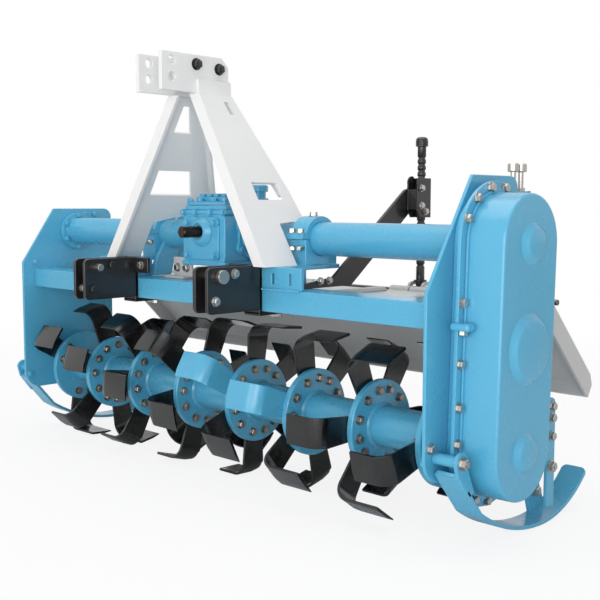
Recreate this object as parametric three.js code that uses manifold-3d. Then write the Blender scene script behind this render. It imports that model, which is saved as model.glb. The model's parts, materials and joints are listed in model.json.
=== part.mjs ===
// Rotary tiller for a tractor's three-point hitch, as an assembly of separate pieces.
// Millimetres. +X runs along the rotor towards the gear case, -Y points to the tractor, +Z is up.
// The pieces are placed round the rotor's axis, and the whole machine is lifted onto its base at the end.
import * as THREE from 'three';
import Module from 'manifold-3d';
import { mergeVertices } from 'three/addons/utils/BufferGeometryUtils.js';

const wasm = await Module();
wasm.setup();

// ---------------------------------------------------------------- driving dimensions
const seat = 0.3; // gap between two pieces that rest on each other
const running = 0.5; // gap round a shaft that turns

// side plates, in the plane of Y and Z
const plateThickness = 10;
const leftPlateInner = -865;
const rightPlateInner = 895;
const plateFront = -206;
const plateRear = 170;
const plateHeel = 230;
const plateHeelTop = 130;
const plateBottom = -68;
const plateCorner = 62;
const chamferBottom = 384;
const leftPlateTop = 573;
const leftChamferTop = -77;
const rightPlateTop = 660;
const rightChamferTop = -30;

// box beam across the front
const beamFront = -159;
const beamDepth = 100;
const beamTop = 358.6;
const beamHeight = 63;
const beamWall = 6;

// round cross tubes and the gearbox between them
const tubeY = 14;
const tubeZ = 492;
const tubeRadius = 47;
const tubeWall = 8;
const tubeFlangeRadius = 66;
const tubeFlangeThickness = 16;
const gearboxHalfWidth = 105;
const gearboxFront = -110;
const gearboxRear = 100;
const gearboxBottom = 405;
const gearboxTop = 585;
const coverHeight = 36;
const inputZ = 507;
const inputRadius = 17.5;
const inputFront = -190;
const inputDepth = 60;
const capRadius = 56;
const capThickness = 18;

// side gear case
const caseRadius = 120;
const caseTopY = 16;
const caseTopZ = 498;
const caseDepth = 99;
const caseWall = 9;
const rimRadius = 147;
const rimThickness = 10;
const rimStandoff = 28;
const gearTrainRadius = 78;
const gearTrainDepth = 64;
const bossHeight = 7;
const endBossRadius = 47;
const middleBossRadius = 82;

// mast
const mastFront = -199;
const mastFrontHead = -176;
const mastFootX = 357;
const mastKneeZ = 905;
const mastHeadHeight = 36;
const mastThickness = 10;
const mastNotchY = -74;
const mastNotchTop = 112;
const mastFlange = 38;
const clevisInner = 45;
const clevisThickness = 14;
const clevisFront = -300;
const clevisRear = -53;
const clevisHeight = 107;
const clevisChamfer = 26;
const clevisHoleRadius = 12.75;
const clevisHoleY = -263;
const clevisHoleRise = 38;
const clevisHoleStep = 45;

// saddles that carry the tube and the mast's feet on the beam
const saddleInner = 310;
const saddleOuter = 460;
const saddleRear = 78;
const saddleTop = 420;
const saddlePlate = 12;
const clampInner = 310;
const clampOuter = 372;
const clampRadius = 64;
const legClearance = 6;
const slotWidth = 9;
const slotLength = 30;

// lower hitch brackets
const cheekInner = 251;
const cheekOuter = 313;
const cheekThickness = 12;
const cheekFront = -356;
const cheekTop = 424;
const cheekBottom = 300;
const strapThickness = 12;
const tabInner = 187;
const tabBottom = 376;
const hitchPinRadius = 11;
const hitchPinY = -312;
const hitchPinZ = 398;

// hood and trailing board
const hoodZ = 328;
const hoodThickness = 8;
const hingeY = 290;
const hingeZ = 334;
const hingeRodRadius = 8;
const knuckleRadius = 15;
const knuckleLength = 70;
const knuckleCount = 5;
const boardThickness = 8;
const boardLength = 314;
const boardAngle = 45;
const boardPastLeftPlate = 35;
const boardPastRightPlate = 45;
const boardFlange = 50;
const boardBend = 30;
const boardLip = 34;

// rotor
const tipRadius = 238;
const rotorRadius = 55;
const rotorWall = 10;
const flangeRadius = 124;
const flangeThickness = 18;
const flangePlaces = [-808, -600, -360, -120, 120, 360, 600, 821];
const bladeThickness = 8;
const bladeWidth = 80;
const wingEndLeft = 122;
const wingEndRight = 132;
const bladeBend = 36;
const bladeRoot = 62;
const gangTurn = 14.7;
const pairTurn = 56;
const bladeTurn = 120;
const stubRadius = 25;
const bearingRadius = 84;
const bearingThickness = 32;

// skids
const standHeight = 234.5;
const skidWidth = 72;
const skidThickness = 10;
const skidOffset = 6;
const skidLowY = 200;
const skidFrontRadius = 517;
const skidRearRadius = 324;
const skidFrontAngle = 33.7;
const skidRearAngle = 46;
const skidFrontLength = 150;
const skidBoltY = -166;
const skidBoltZ = -4;
const skidSpacerRadius = 14;

// board strut
const strutX = 433;
const armThickness = 10;
const armWidth = 68;
const armFootWidth = 26;
const armFootY = 40;
const armHeadY = 356;
const armHeadZ = 602;
const blockWidth = 40;
const blockDepth = 46;
const blockBottom = 550;
const blockTop = 668;
const rodRadius = 13;
const rodY = 392;
const rodTop = 792;
const eyeZ = hingeZ;
const eyePinRadius = 6;
const eyePlay = 4.5;

// colours
const paint = { color: 0x58a9d0, roughness: 0.35, metalness: 0.1 };
const white = { color: 0xe6e6e6, roughness: 0.45, metalness: 0.05 };
const grey = { color: 0xa8a8a8, roughness: 0.5, metalness: 0.1 };
const black = { color: 0x151515, roughness: 0.3, metalness: 0.3 };
const steel = { color: 0x8c8a86, roughness: 0.4, metalness: 0.9 };

// ---------------------------------------------------------------- shape helpers
const towardsX = new THREE.Matrix4().makeBasis(
  new THREE.Vector3(0, 1, 0), new THREE.Vector3(0, 0, 1), new THREE.Vector3(1, 0, 0));

// A mesh geometry as a solid for cutting and joining.
function solid(geometry) {
  const bare = geometry.index ? geometry.toNonIndexed() : geometry.clone();
  bare.deleteAttribute('normal');
  bare.deleteAttribute('uv');
  const merged = mergeVertices(bare, 1e-4);
  const vertProperties = new Float32Array(merged.attributes.position.array);
  const triVerts = new Uint32Array(merged.index.array);
  return new wasm.Manifold(new wasm.Mesh({ numProp: 3, vertProperties, triVerts }));
}

// A solid as a mesh geometry again.
function geometryOf(body) {
  const mesh = body.getMesh();
  const geometry = new THREE.BufferGeometry();
  geometry.setAttribute('position', new THREE.BufferAttribute(mesh.vertProperties, 3));
  geometry.setIndex(new THREE.BufferAttribute(mesh.triVerts, 1));
  geometry.computeVertexNormals();
  return geometry;
}

function join(...bodies) {
  return bodies.reduce((sum, body) => sum.add(body));
}

// A block between two corners.
function block(x0, x1, y0, y1, z0, z1) {
  const geometry = new THREE.BoxGeometry(x1 - x0, y1 - y0, z1 - z0);
  geometry.translate((x0 + x1) / 2, (y0 + y1) / 2, (z0 + z1) / 2);
  return solid(geometry);
}

// A round bar along X, between two places, on the axis at y and z.
function barX(radius, x0, x1, y, z, sides = 32) {
  const geometry = new THREE.CylinderGeometry(radius, radius, x1 - x0, sides);
  geometry.rotateZ(-Math.PI / 2);
  geometry.translate((x0 + x1) / 2, y, z);
  return solid(geometry);
}

// A round bar along Y.
function barY(radius, y0, y1, x, z, sides = 32) {
  const geometry = new THREE.CylinderGeometry(radius, radius, y1 - y0, sides);
  geometry.translate(x, (y0 + y1) / 2, z);
  return solid(geometry);
}

// A round bar along Z.
function barZ(radius, z0, z1, x, y, sides = 24) {
  const geometry = new THREE.CylinderGeometry(radius, radius, z1 - z0, sides);
  geometry.rotateX(Math.PI / 2);
  geometry.translate(x, y, (z0 + z1) / 2);
  return solid(geometry);
}

// A flat plate in the plane of Y and Z, from x0 to x1, with its outline as [y, z] points.
function plate(points, x0, x1) {
  const outline = new THREE.Shape(points.map(([y, z]) => new THREE.Vector2(y, z)));
  return extrudeX(outline, x0, x1);
}

function extrudeX(outline, x0, x1, curveSegments = 8) {
  const geometry = new THREE.ExtrudeGeometry(outline, { depth: x1 - x0, bevelEnabled: false, curveSegments });
  geometry.applyMatrix4(towardsX);
  geometry.translate(x0, 0, 0);
  return solid(geometry);
}

// The same solid on the other side of the plane x = 0.
function mirrored(body) {
  return body.mirror([1, 0, 0]);
}

// The rounded outline round two centres, one above the other.
function stadium(radius, grow = 0) {
  const r = radius + grow;
  const lean = Math.atan2(caseTopY, caseTopZ);
  const outline = new THREE.Shape();
  outline.absarc(caseTopY, caseTopZ, r, -lean, Math.PI - lean, false);
  outline.absarc(0, 0, r, Math.PI - lean, 2 * Math.PI - lean, false);
  return outline;
}

const machine = new THREE.Group();

function place(name, body, material) {
  const mesh = new THREE.Mesh(geometryOf(body), new THREE.MeshStandardMaterial(material));
  mesh.name = name;
  machine.add(mesh);
  return mesh;
}

// ---------------------------------------------------------------- frame
const leftPlateOuter = leftPlateInner - plateThickness;
const rightPlateOuter = rightPlateInner + plateThickness;
const beamBottom = beamTop - beamHeight;
const beamRear = beamFront + beamDepth;

function sidePlate(inner, outer, top, chamferTop) {
  const outline = new THREE.Shape();
  outline.moveTo(plateFront + plateCorner, plateBottom);
  outline.lineTo(plateHeel, plateBottom);
  outline.lineTo(plateHeel, plateHeelTop - plateHeel + plateRear);
  outline.lineTo(plateRear, plateHeelTop);
  outline.lineTo(plateRear, top - plateCorner / 2);
  outline.absarc(plateRear - plateCorner / 2, top - plateCorner / 2, plateCorner / 2, 0, Math.PI / 2, false);
  outline.lineTo(chamferTop, top);
  outline.lineTo(plateFront, chamferBottom);
  outline.lineTo(plateFront, plateBottom + plateCorner);
  outline.absarc(plateFront + plateCorner, plateBottom + plateCorner, plateCorner, Math.PI, 1.5 * Math.PI, false);
  return extrudeX(outline, Math.min(inner, outer), Math.max(inner, outer));
}

function mainBeam() {
  const x0 = leftPlateInner + seat;
  const x1 = rightPlateInner - seat;
  const outside = block(x0, x1, beamFront, beamRear, beamBottom, beamTop);
  const inside = block(x0 - 1, x1 + 1, beamFront + beamWall, beamRear - beamWall,
    beamBottom + beamWall, beamTop - beamWall);
  return outside.subtract(inside);
}

// A cross tube with a bolted flange at its outer end.
function crossTube(gearboxEnd, plateEnd) {
  const x0 = Math.min(gearboxEnd, plateEnd);
  const x1 = Math.max(gearboxEnd, plateEnd);
  const flangeStart = plateEnd > gearboxEnd ? plateEnd - tubeFlangeThickness : plateEnd;
  const tube = barX(tubeRadius, x0, x1, tubeY, tubeZ, 40);
  const flange = barX(tubeFlangeRadius, flangeStart, flangeStart + tubeFlangeThickness, tubeY, tubeZ, 40);
  const bore = barX(tubeRadius - tubeWall, x0 - 1, x1 + 1, tubeY, tubeZ, 32);
  return join(tube, flange).subtract(bore);
}

function bearingHousing(x0, x1) {
  return barX(bearingRadius, x0, x1, 0, 0, 36).subtract(barX(stubRadius + running, x0 - 1, x1 + 1, 0, 0, 32));
}

place('left_side_plate', sidePlate(leftPlateInner, leftPlateOuter, leftPlateTop, leftChamferTop), paint);
place('right_side_plate', sidePlate(rightPlateInner, rightPlateOuter, rightPlateTop, rightChamferTop), paint);
place('main_beam', mainBeam(), paint);
place('cross_tube_left', crossTube(-gearboxHalfWidth - seat, leftPlateInner + seat), paint);
place('cross_tube_right', crossTube(gearboxHalfWidth + seat, rightPlateInner - seat), paint);
place('rotor_bearing_left',
  bearingHousing(leftPlateInner + seat, leftPlateInner + seat + bearingThickness), paint);
place('rotor_bearing_right',
  bearingHousing(rightPlateInner - seat - bearingThickness, rightPlateInner - seat), paint);

// ---------------------------------------------------------------- gearbox and input shaft
function gearboxHousing() {
  return block(-gearboxHalfWidth, gearboxHalfWidth, gearboxFront, gearboxRear, gearboxBottom, gearboxTop);
}

function gearboxCover() {
  const bottom = gearboxTop + seat;
  const low = block(-88, 88, gearboxFront + 14, gearboxRear - 14, bottom, bottom + 14);
  const high = block(-66, 66, gearboxFront + 34, gearboxRear - 34, bottom + 13, bottom + coverHeight);
  return join(low, high);
}

function bearingCap() {
  const back = gearboxFront - seat;
  const disc = barY(capRadius, back - capThickness, back, 0, inputZ, 40);
  return disc.subtract(barY(inputRadius + running, back - capThickness - 1, back + 1, 0, inputZ, 32));
}

place('gearbox_housing', gearboxHousing(), paint);
place('gearbox_cover', gearboxCover(), paint);
place('gearbox_bearing_cap', bearingCap(), paint);
place('input_shaft', barY(inputRadius, inputFront, gearboxFront - running, 0, inputZ, 32), steel);

// ---------------------------------------------------------------- side gear case
const caseBack = rightPlateOuter + seat;
const rimStart = caseBack + rimStandoff;
const caseStart = rimStart + rimThickness + seat;
const caseFace = caseStart + caseDepth;

// The case's inner half: a low wall on the side plate, with the flange that the cover bolts to.
function caseRim() {
  const wall = extrudeX(stadium(caseRadius), caseBack, rimStart + 1, 20);
  const flange = extrudeX(stadium(rimRadius), rimStart, rimStart + rimThickness, 24);
  const inside = extrudeX(stadium(caseRadius - caseWall), caseBack - 1, caseStart, 16);
  return join(wall, flange).subtract(inside);
}

function gearCase() {
  const outside = extrudeX(stadium(caseRadius), caseStart, caseFace, 20);
  const inside = extrudeX(stadium(caseRadius - caseWall), caseStart - 1, caseFace - caseWall, 16);
  const bosses = join(
    barX(endBossRadius, caseFace - 1, caseFace + bossHeight, caseTopY, caseTopZ),
    barX(middleBossRadius, caseFace - 1, caseFace + bossHeight, caseTopY / 2, caseTopZ / 2),
    barX(endBossRadius, caseFace - 1, caseFace + bossHeight, 0, 0));
  return join(outside.subtract(inside), bosses);
}

function gearTrain() {
  return extrudeX(stadium(gearTrainRadius), caseBack, caseBack + gearTrainDepth, 8);
}

place('gear_case_rim', caseRim(), paint);
place('gear_case', gearCase(), paint);
place('gear_train', gearTrain(), steel);

// ---------------------------------------------------------------- saddles, clamps and mast
const clampSplit = tubeZ;
const clevisBottom = mastKneeZ;
const clevisTop = clevisBottom + clevisHeight;

function tubeSaddle() {
  const bottom = beamTop + seat;
  const front = block(saddleInner, saddleOuter, beamFront, beamFront + saddlePlate, bottom, saddleTop);
  const roof = block(saddleInner, clampOuter + saddlePlate, beamFront, saddleRear,
    saddleTop - saddlePlate, saddleTop);
  const web = block(saddleInner, saddleInner + saddlePlate, beamFront, beamRear, bottom, saddleTop);
  const farWeb = block(clampOuter, clampOuter + saddlePlate, beamFront, beamRear, bottom, saddleTop);
  const cradle = block(clampInner, clampOuter, tubeY - clampRadius, tubeY + clampRadius,
    saddleTop - 1, clampSplit - seat / 2);
  const bore = barX(tubeRadius + seat, clampInner - 1, clampOuter + 1, tubeY, tubeZ, 40);
  const middle = (saddleInner + saddleOuter) / 2;
  const slots = [middle - 32, middle + 32].map((x) => block(x - slotWidth / 2, x + slotWidth / 2,
    beamFront - 1, beamFront + saddlePlate + 1, bottom + 14, bottom + 14 + slotLength));
  return join(front, roof, web, farWeb, cradle).subtract(bore).subtract(join(...slots));
}

function tubeCap() {
  const arch = barX(clampRadius, clampInner, clampOuter, tubeY, tubeZ, 40);
  const upper = block(clampInner - 1, clampOuter + 1, tubeY - 2 * clampRadius, tubeY + 2 * clampRadius,
    clampSplit + seat / 2, clampSplit + 2 * clampRadius);
  const ears = block(clampInner, clampOuter, tubeY - clampRadius - 14, tubeY + clampRadius + 14,
    clampSplit + seat / 2, clampSplit + 18);
  const bore = barX(tubeRadius + seat, clampInner - 1, clampOuter + 1, tubeY, tubeZ, 40);
  return join(arch.intersect(upper), ears).subtract(bore);
}

// A mast leg is a plate that leans inwards up to its knee and stands upright against its cheek
// from there, with flanges bent inwards along its front and rear edges. Its rear edge and windows
// are given as [y, height above its foot] points.
function mastLeg({ rear, windows }) {
  const footZ = saddleTop + seat;
  const rise = mastKneeZ - footZ;
  const headX = clevisInner + clevisThickness + seat + mastThickness / 2;
  const lean = Math.atan2(mastFootX - headX, rise);
  const along = (height) => height / Math.cos(lean);
  const frontAt = (height) => mastFront + (mastFrontHead - mastFront) * height / rise;
  const low = -40;
  const high = rise + 20;
  const outline = new THREE.Shape();
  outline.moveTo(frontAt(low), along(low));
  outline.lineTo(mastNotchY, along(low));
  outline.lineTo(mastNotchY, along(mastNotchTop));
  rear.forEach(([y, height]) => outline.lineTo(y, along(height)));
  outline.lineTo(frontAt(high), along(high));
  outline.closePath();
  windows.forEach((corners) => {
    outline.holes.push(new THREE.Path(corners.map(([y, height]) => new THREE.Vector2(y, along(height)))));
  });
  // a flange follows the edge between two [y, height] points
  const flange = ([[y0, height0], [y1, height1]], depth) => plate([[y0, along(height0)],
    [y0 + depth, along(height0)], [y1 + depth, along(height1)], [y1, along(height1)]],
    mastThickness / 2 - mastFlange, mastThickness / 2);
  const front = flange([[frontAt(low), low], [frontAt(high), high]], mastThickness);
  const back = flange(rear.slice(1), -mastThickness);
  const leaning = join(extrudeX(outline, -mastThickness / 2, mastThickness / 2), front, back)
    .rotate([0, -lean * 180 / Math.PI, 0]).translate([mastFootX, 0, footZ]);
  const reach = 2 * mastFootX;
  const room = block(headX - mastThickness / 2, reach, -reach, reach, footZ, mastKneeZ);
  const below = block(-reach, headX, -reach, reach, footZ, clevisBottom - seat);
  const tubeRoom = barX(tubeRadius + legClearance, -reach, reach, tubeY, tubeZ, 40);
  const capRoom = barX(clampRadius + legClearance, clampInner - legClearance, clampOuter + legClearance,
    tubeY, tubeZ, 40);
  const head = block(headX - mastThickness / 2, headX + mastThickness / 2, frontAt(rise),
    rear[rear.length - 1][0], mastKneeZ - mastThickness, mastKneeZ + mastHeadHeight);
  return join(leaning.intersect(join(room, below)), head).subtract(tubeRoom).subtract(capRoom);
}

function mastClevis() {
  const cheek = plate([[clevisFront, clevisBottom], [clevisRear, clevisBottom],
    [clevisRear, clevisTop - clevisChamfer], [clevisRear - clevisChamfer, clevisTop], [clevisFront, clevisTop]],
    clevisInner, clevisInner + clevisThickness);
  const lowHole = clevisBottom + clevisHoleRise;
  const holes = [lowHole, lowHole + clevisHoleStep].map((z) => barX(clevisHoleRadius, 0, 2 * clevisInner,
    clevisHoleY, z, 24));
  return cheek.subtract(join(...holes));
}

// The outline behind each leg's rear edge, and its windows, above the leg's foot.
const mastLegs = {
  right: {
    rear: [[30, 120], [18, 206], [-53, 486]],
    windows: [
      [[-118, 178], [-12, 178], [-18, 227], [-118, 227]],
      [[-88, 424], [-68, 424], [-75, 461], [-94, 461]],
    ],
  },
  left: {
    rear: [[132, 150], [122, 209], [-53, 486]],
    windows: [
      [[-124, 199], [42, 199], [5, 274], [-123, 274]],
      [[-117, 386], [-50, 386], [-88, 462], [-114, 462]],
    ],
  },
};

function mastTie() {
  const x = clevisInner - seat;
  return block(-x, x, -175, clevisRear, clevisBottom + 14, clevisBottom + 64);
}

for (const [side, turn] of [['right', (body) => body], ['left', mirrored]]) {
  place(`tube_saddle_${side}`, turn(tubeSaddle()), paint);
  place(`tube_cap_${side}`, turn(tubeCap()), paint);
  place(`mast_leg_${side}`, turn(mastLeg(mastLegs[side])), white);
  place(`mast_clevis_${side}`, turn(mastClevis()), white);
}
place('mast_tie', mastTie(), white);

// ---------------------------------------------------------------- lower hitch brackets
function hitchBracket() {
  const back = beamFront - seat;
  const front = back - strapThickness;
  const inner = block(cheekInner, cheekInner + cheekThickness, cheekFront, front + 1, cheekBottom, cheekTop);
  const outer = block(cheekOuter - cheekThickness, cheekOuter, cheekFront, front + 1, cheekBottom, cheekTop);
  const base = block(cheekInner, cheekOuter, front, back, cheekBottom - 14, cheekTop);
  const tab = block(tabInner, cheekInner + 1, front, back, tabBottom, cheekTop);
  const under = block(cheekInner, cheekOuter, front, beamRear, beamBottom - seat - strapThickness,
    beamBottom - seat);
  const hole = barX(hitchPinRadius + seat, 0, 500, hitchPinY, hitchPinZ, 32);
  return join(inner, outer, base, tab, under).subtract(hole);
}

function hitchPin() {
  const pin = barX(hitchPinRadius, cheekInner - 22, cheekOuter + 16, hitchPinY, hitchPinZ, 32);
  const head = barX(hitchPinRadius + 8, cheekOuter + seat, cheekOuter + 16, hitchPinY, hitchPinZ, 24);
  return join(pin, head);
}

for (const [side, turn] of [['right', (body) => body], ['left', mirrored]]) {
  place(`hitch_bracket_${side}`, turn(hitchBracket()), black);
  place(`hitch_pin_${side}`, turn(hitchPin()), steel);
}

// ---------------------------------------------------------------- hood and trailing board
const hoodFront = beamRear + seat;
const knuckleStep = (rightPlateInner - leftPlateInner - 200) / (knuckleCount - 1);
const boardLeft = leftPlateInner - boardPastLeftPlate;
const boardRight = rightPlateInner + boardPastRightPlate;
const knucklePlaces = Array.from({ length: knuckleCount }, (_, i) => leftPlateInner + 100 + i * knuckleStep);

function hood() {
  const x0 = leftPlateInner + seat;
  const x1 = rightPlateInner - seat;
  const rear = hingeY - knuckleRadius - 4;
  const sheet = block(x0, x1, hoodFront, rear, hoodZ, hoodZ + hoodThickness);
  const fold = block(x0, x1, hoodFront, hoodFront + hoodThickness, beamBottom + 4, hoodZ + 1);
  const knuckles = knucklePlaces.map((x) => join(
    barX(knuckleRadius, x, x + knuckleLength, hingeY, hingeZ, 16),
    block(x, x + knuckleLength, rear - 30, hingeY, hoodZ, hoodZ + hoodThickness)));
  const bore = barX(hingeRodRadius + running, x0, x1, hingeY, hingeZ, 16);
  return join(sheet, fold, ...knuckles).subtract(bore);
}

function hingeRod() {
  const reach = knuckleLength + 12;
  const start = knucklePlaces[0] - 12;
  return barX(hingeRodRadius, start, knucklePlaces[knuckleCount - 1] + 2 * reach, hingeY, hingeZ, 16);
}

// The board is made lying back from its hinge, then tipped down to its angle. Its rear edge is
// bent down in two folds.
function trailingBoard() {
  const start = knuckleRadius + 6;
  const half = boardThickness / 2;
  const folds = [[start, half], [boardLength, half],
    [boardLength + boardBend, half - boardBend / 2], [boardLength + 1.3 * boardBend, -boardBend / 2 - boardLip]];
  const under = folds.map(([y, z], i) => (i < 2 ? [y, z - boardThickness]
    : [y - boardThickness, z - (i === 2 ? half : 0)]));
  const sheet = plate([...folds, ...under.reverse()], boardLeft, boardRight);
  const cheek = [...folds, [boardLength, -boardFlange], [start, -boardFlange]];
  const flanges = [boardLeft, boardRight - boardThickness].map((x) => plate(cheek, x, x + boardThickness));
  const knuckles = knucklePlaces.map((x) => {
    const from = x + knuckleLength + 4;
    return join(barX(knuckleRadius, from, from + knuckleLength, 0, 0, 16),
      block(from, from + knuckleLength, 0, start + 20, -half, half));
  });
  const bore = barX(hingeRodRadius + running, boardLeft, boardRight, 0, 0, 16);
  const tipped = join(sheet, ...flanges, ...knuckles).subtract(bore)
    .rotate([-boardAngle, 0, 0]).translate([0, hingeY, hingeZ]);
  return join(tipped, ...boardLugs());
}

// Two slotted lugs on the board take the strut's cross pin.
function boardLugs() {
  const reach = rodY - hingeY;
  const slot = new THREE.Path();
  slot.absarc(rodY - 3, eyeZ, eyePinRadius + eyePlay, Math.PI / 2, 1.5 * Math.PI, false);
  slot.absarc(rodY + 20, eyeZ, eyePinRadius + eyePlay, -Math.PI / 2, Math.PI / 2, false);
  return [-1, 1].map((side) => {
    const x = strutX + side * (rodRadius + 12);
    const outline = new THREE.Shape();
    const sheetZ = hingeZ - reach * Math.tan(boardAngle * Math.PI / 180);
    outline.moveTo(rodY - 40, sheetZ + 40);
    outline.lineTo(rodY + 10, sheetZ - 10);
    outline.lineTo(rodY + 38, eyeZ - 24);
    outline.absarc(rodY + 20, eyeZ, 21, -Math.PI / 4, Math.PI / 2, false);
    outline.absarc(rodY - 6, eyeZ, 21, Math.PI / 2, Math.PI, false);
    outline.closePath();
    outline.holes.push(slot);
    return extrudeX(outline, x - 4, x + 4, 8);
  });
}

place('rotor_hood', hood(), grey);
place('hinge_rod', hingeRod(), steel);
place('trailing_board', trailingBoard(), grey);

// ---------------------------------------------------------------- strut that sets the board's height
function strutArm() {
  const half = armWidth / 2;
  const slope = Math.atan2(armHeadZ - beamTop, armHeadY - armFootY);
  const side = new THREE.Vector2(-Math.sin(slope), Math.cos(slope)).multiplyScalar(half);
  const outline = new THREE.Shape();
  outline.moveTo(armFootY - side.x, beamTop - side.y);
  outline.lineTo(armHeadY - side.x, armHeadZ - side.y);
  outline.absarc(armHeadY, armHeadZ, half, slope - Math.PI / 2, slope + Math.PI / 2, false);
  outline.lineTo(armFootY + side.x, beamTop + side.y);
  outline.lineTo(beamRear - armWidth, beamTop + armThickness);
  outline.lineTo(beamRear - armWidth, beamTop);
  outline.closePath();
  const x1 = strutX - blockWidth / 2 - seat;
  const bar = extrudeX(outline, x1 - armThickness, x1, 10);
  const foot = block(x1 - armFootWidth, x1, beamRear - 80, armFootY, beamTop + seat, beamTop + 10);
  const above = block(-2000, 2000, -2000, 2000, beamTop + seat, 2000);
  return join(bar.intersect(above), foot);
}

function strutBlock() {
  const x0 = strutX - blockWidth / 2;
  const body = block(x0, x0 + blockWidth, rodY - blockDepth, rodY + blockDepth / 2,
    blockBottom, blockTop);
  return body.subtract(barZ(rodRadius + running, 0, 2000, strutX, rodY));
}

function strutRod() {
  const rod = barZ(rodRadius, eyeZ - 14, rodTop, strutX, rodY);
  const cap = barZ(rodRadius + 6, rodTop - 28, rodTop, strutX, rodY);
  const pin = barX(eyePinRadius, strutX - rodRadius - 22, strutX + rodRadius + 22, rodY, eyeZ, 16);
  return join(rod, cap, pin);
}

place('strut_arm', strutArm(), black);
place('strut_block', strutBlock(), black);
place('strut_rod', strutRod(), black);

// ---------------------------------------------------------------- skids
// The bottom line of a skid: a straight front, then two arcs that meet at the lowest point.
function skidLine(offset) {
  const points = [];
  const toRadians = Math.PI / 180;
  const bottom = -standHeight;
  const frontY = skidLowY - (skidFrontRadius - offset) * Math.sin(skidFrontAngle * toRadians);
  const frontZ = bottom + skidFrontRadius - (skidFrontRadius - offset) * Math.cos(skidFrontAngle * toRadians);
  const slope = (skidFrontAngle + 16) * toRadians;
  points.push([frontY - skidFrontLength * Math.cos(slope), frontZ + skidFrontLength * Math.sin(slope)]);
  for (let step = 0; step <= 6; step += 1) {
    const angle = skidFrontAngle * toRadians * (1 - step / 6);
    const radius = skidFrontRadius - offset;
    points.push([skidLowY - radius * Math.sin(angle), bottom + skidFrontRadius - radius * Math.cos(angle)]);
  }
  for (let step = 1; step <= 6; step += 1) {
    const angle = skidRearAngle * toRadians * step / 6;
    const radius = skidRearRadius - offset;
    points.push([skidLowY + radius * Math.sin(angle), bottom + skidRearRadius - radius * Math.cos(angle)]);
  }
  return points;
}

function skid() {
  const x0 = rightPlateOuter + skidOffset;
  const x1 = x0 + skidWidth;
  const outline = [...skidLine(0), ...skidLine(skidThickness).reverse()];
  const runner = plate(outline, x0, x1);
  const [frontY, frontZ] = skidLine(skidThickness)[0];
  const lug = plate([[frontY - 4, frontZ - 6], [frontY + 52, frontZ - 72], [frontY + 74, frontZ - 58],
    [skidBoltY + 20, skidBoltZ - 22], [skidBoltY + 16, skidBoltZ + 14], [skidBoltY - 16, skidBoltZ + 14]], x1 - 10, x1);
  const spacer = barX(skidSpacerRadius, rightPlateOuter + seat, x1 - 5, skidBoltY, skidBoltZ, 20);
  const rearLug = plate([[skidLowY + 40, -standHeight + 5], [skidLowY + 110, -standHeight + 22],
    [plateHeel - 8, plateBottom + 48], [plateRear - 2, plateBottom + 48]], x0, x0 + 10);
  const rearPad = block(rightPlateOuter + seat, x0 + 1, plateRear + 4, plateHeel - 10,
    plateBottom + 8, plateBottom + 44);
  return join(runner, lug, spacer, rearLug, rearPad);
}

function onLeftPlate(body) {
  return mirrored(body).translate([leftPlateOuter + rightPlateOuter, 0, 0]);
}

place('skid_right', skid(), paint);
place('skid_left', onLeftPlate(skid()), paint);

// ---------------------------------------------------------------- rotor
function rotorTube() {
  const x0 = flangePlaces[0] + flangeThickness / 2 + seat;
  const x1 = flangePlaces[flangePlaces.length - 1] - flangeThickness / 2 - seat;
  return barX(rotorRadius, x0, x1, 0, 0, 32).subtract(barX(rotorRadius - rotorWall, x0 - 1, x1 + 1, 0, 0, 24));
}

// One blade standing on +Z: a flat shank on the flange's far face, bent sideways into a wing, towards -X or +X.
function blade(side) {
  const t = bladeThickness;
  const outer = Math.sqrt(tipRadius ** 2 - (bladeWidth / 2) ** 2);
  const near = -flangeThickness / 2 + 0.5;
  const shank = side > 0 ? near - t : near;
  const end = side > 0 ? wingEndRight : -wingEndLeft;
  const bendX = shank + side * (t + bladeBend);
  const bendZ = outer - t - bladeBend;
  const start = side > 0 ? Math.PI : 0;
  const outline = new THREE.Shape();
  outline.moveTo(shank, bladeRoot);
  outline.lineTo(shank + side * t, bladeRoot);
  outline.lineTo(shank + side * t, bendZ);
  outline.absarc(bendX, bendZ, bladeBend, start, Math.PI / 2, side > 0);
  outline.lineTo(end, outer - t);
  outline.lineTo(end, outer);
  outline.lineTo(bendX, outer);
  outline.absarc(bendX, bendZ, bladeBend + t, Math.PI / 2, start, side < 0);
  outline.closePath();
  const geometry = new THREE.ExtrudeGeometry(outline, { depth: bladeWidth, bevelEnabled: false, curveSegments: 3 });
  geometry.rotateX(Math.PI / 2);
  geometry.translate(0, bladeWidth / 2, 0);
  return solid(geometry);
}

// The blades of one flange: three of each hand, or three of one hand at the rotor's two ends.
function bladesOf(index) {
  const last = flangePlaces.length - 1;
  const turns = [0, bladeTurn, 2 * bladeTurn];
  const left = index > 0 ? turns.map((turn) => blade(-1).rotate([turn + index * gangTurn, 0, 0])) : [];
  const right = index < last ? turns.map((turn) => blade(1).rotate([turn + pairTurn + index * gangTurn, 0, 0])) : [];
  return [...left, ...right];
}

function bladeGang(index) {
  const last = flangePlaces.length - 1;
  const half = flangeThickness / 2;
  const disc = barX(flangeRadius, -half, half, 0, 0, 36);
  const core = barX(rotorRadius + seat, -half - 20, half + 20, 0, 0, 32);
  const isEnd = index === 0 || index === last;
  const ring = isEnd ? join(disc, ...bladesOf(index)) : join(disc, ...bladesOf(index)).subtract(core);
  const whole = isEnd ? join(ring, endShaft(index === 0 ? -1 : 1)) : ring;
  return whole.translate([flangePlaces[index], 0, 0]);
}

function endShaft(side) {
  const plateInner = side < 0 ? leftPlateInner : rightPlateInner;
  const reach = plateInner - side * (seat + running) - flangePlaces[side < 0 ? 0 : flangePlaces.length - 1];
  return barX(stubRadius, Math.min(0, reach), Math.max(0, reach), 0, 0, 32);
}

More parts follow.
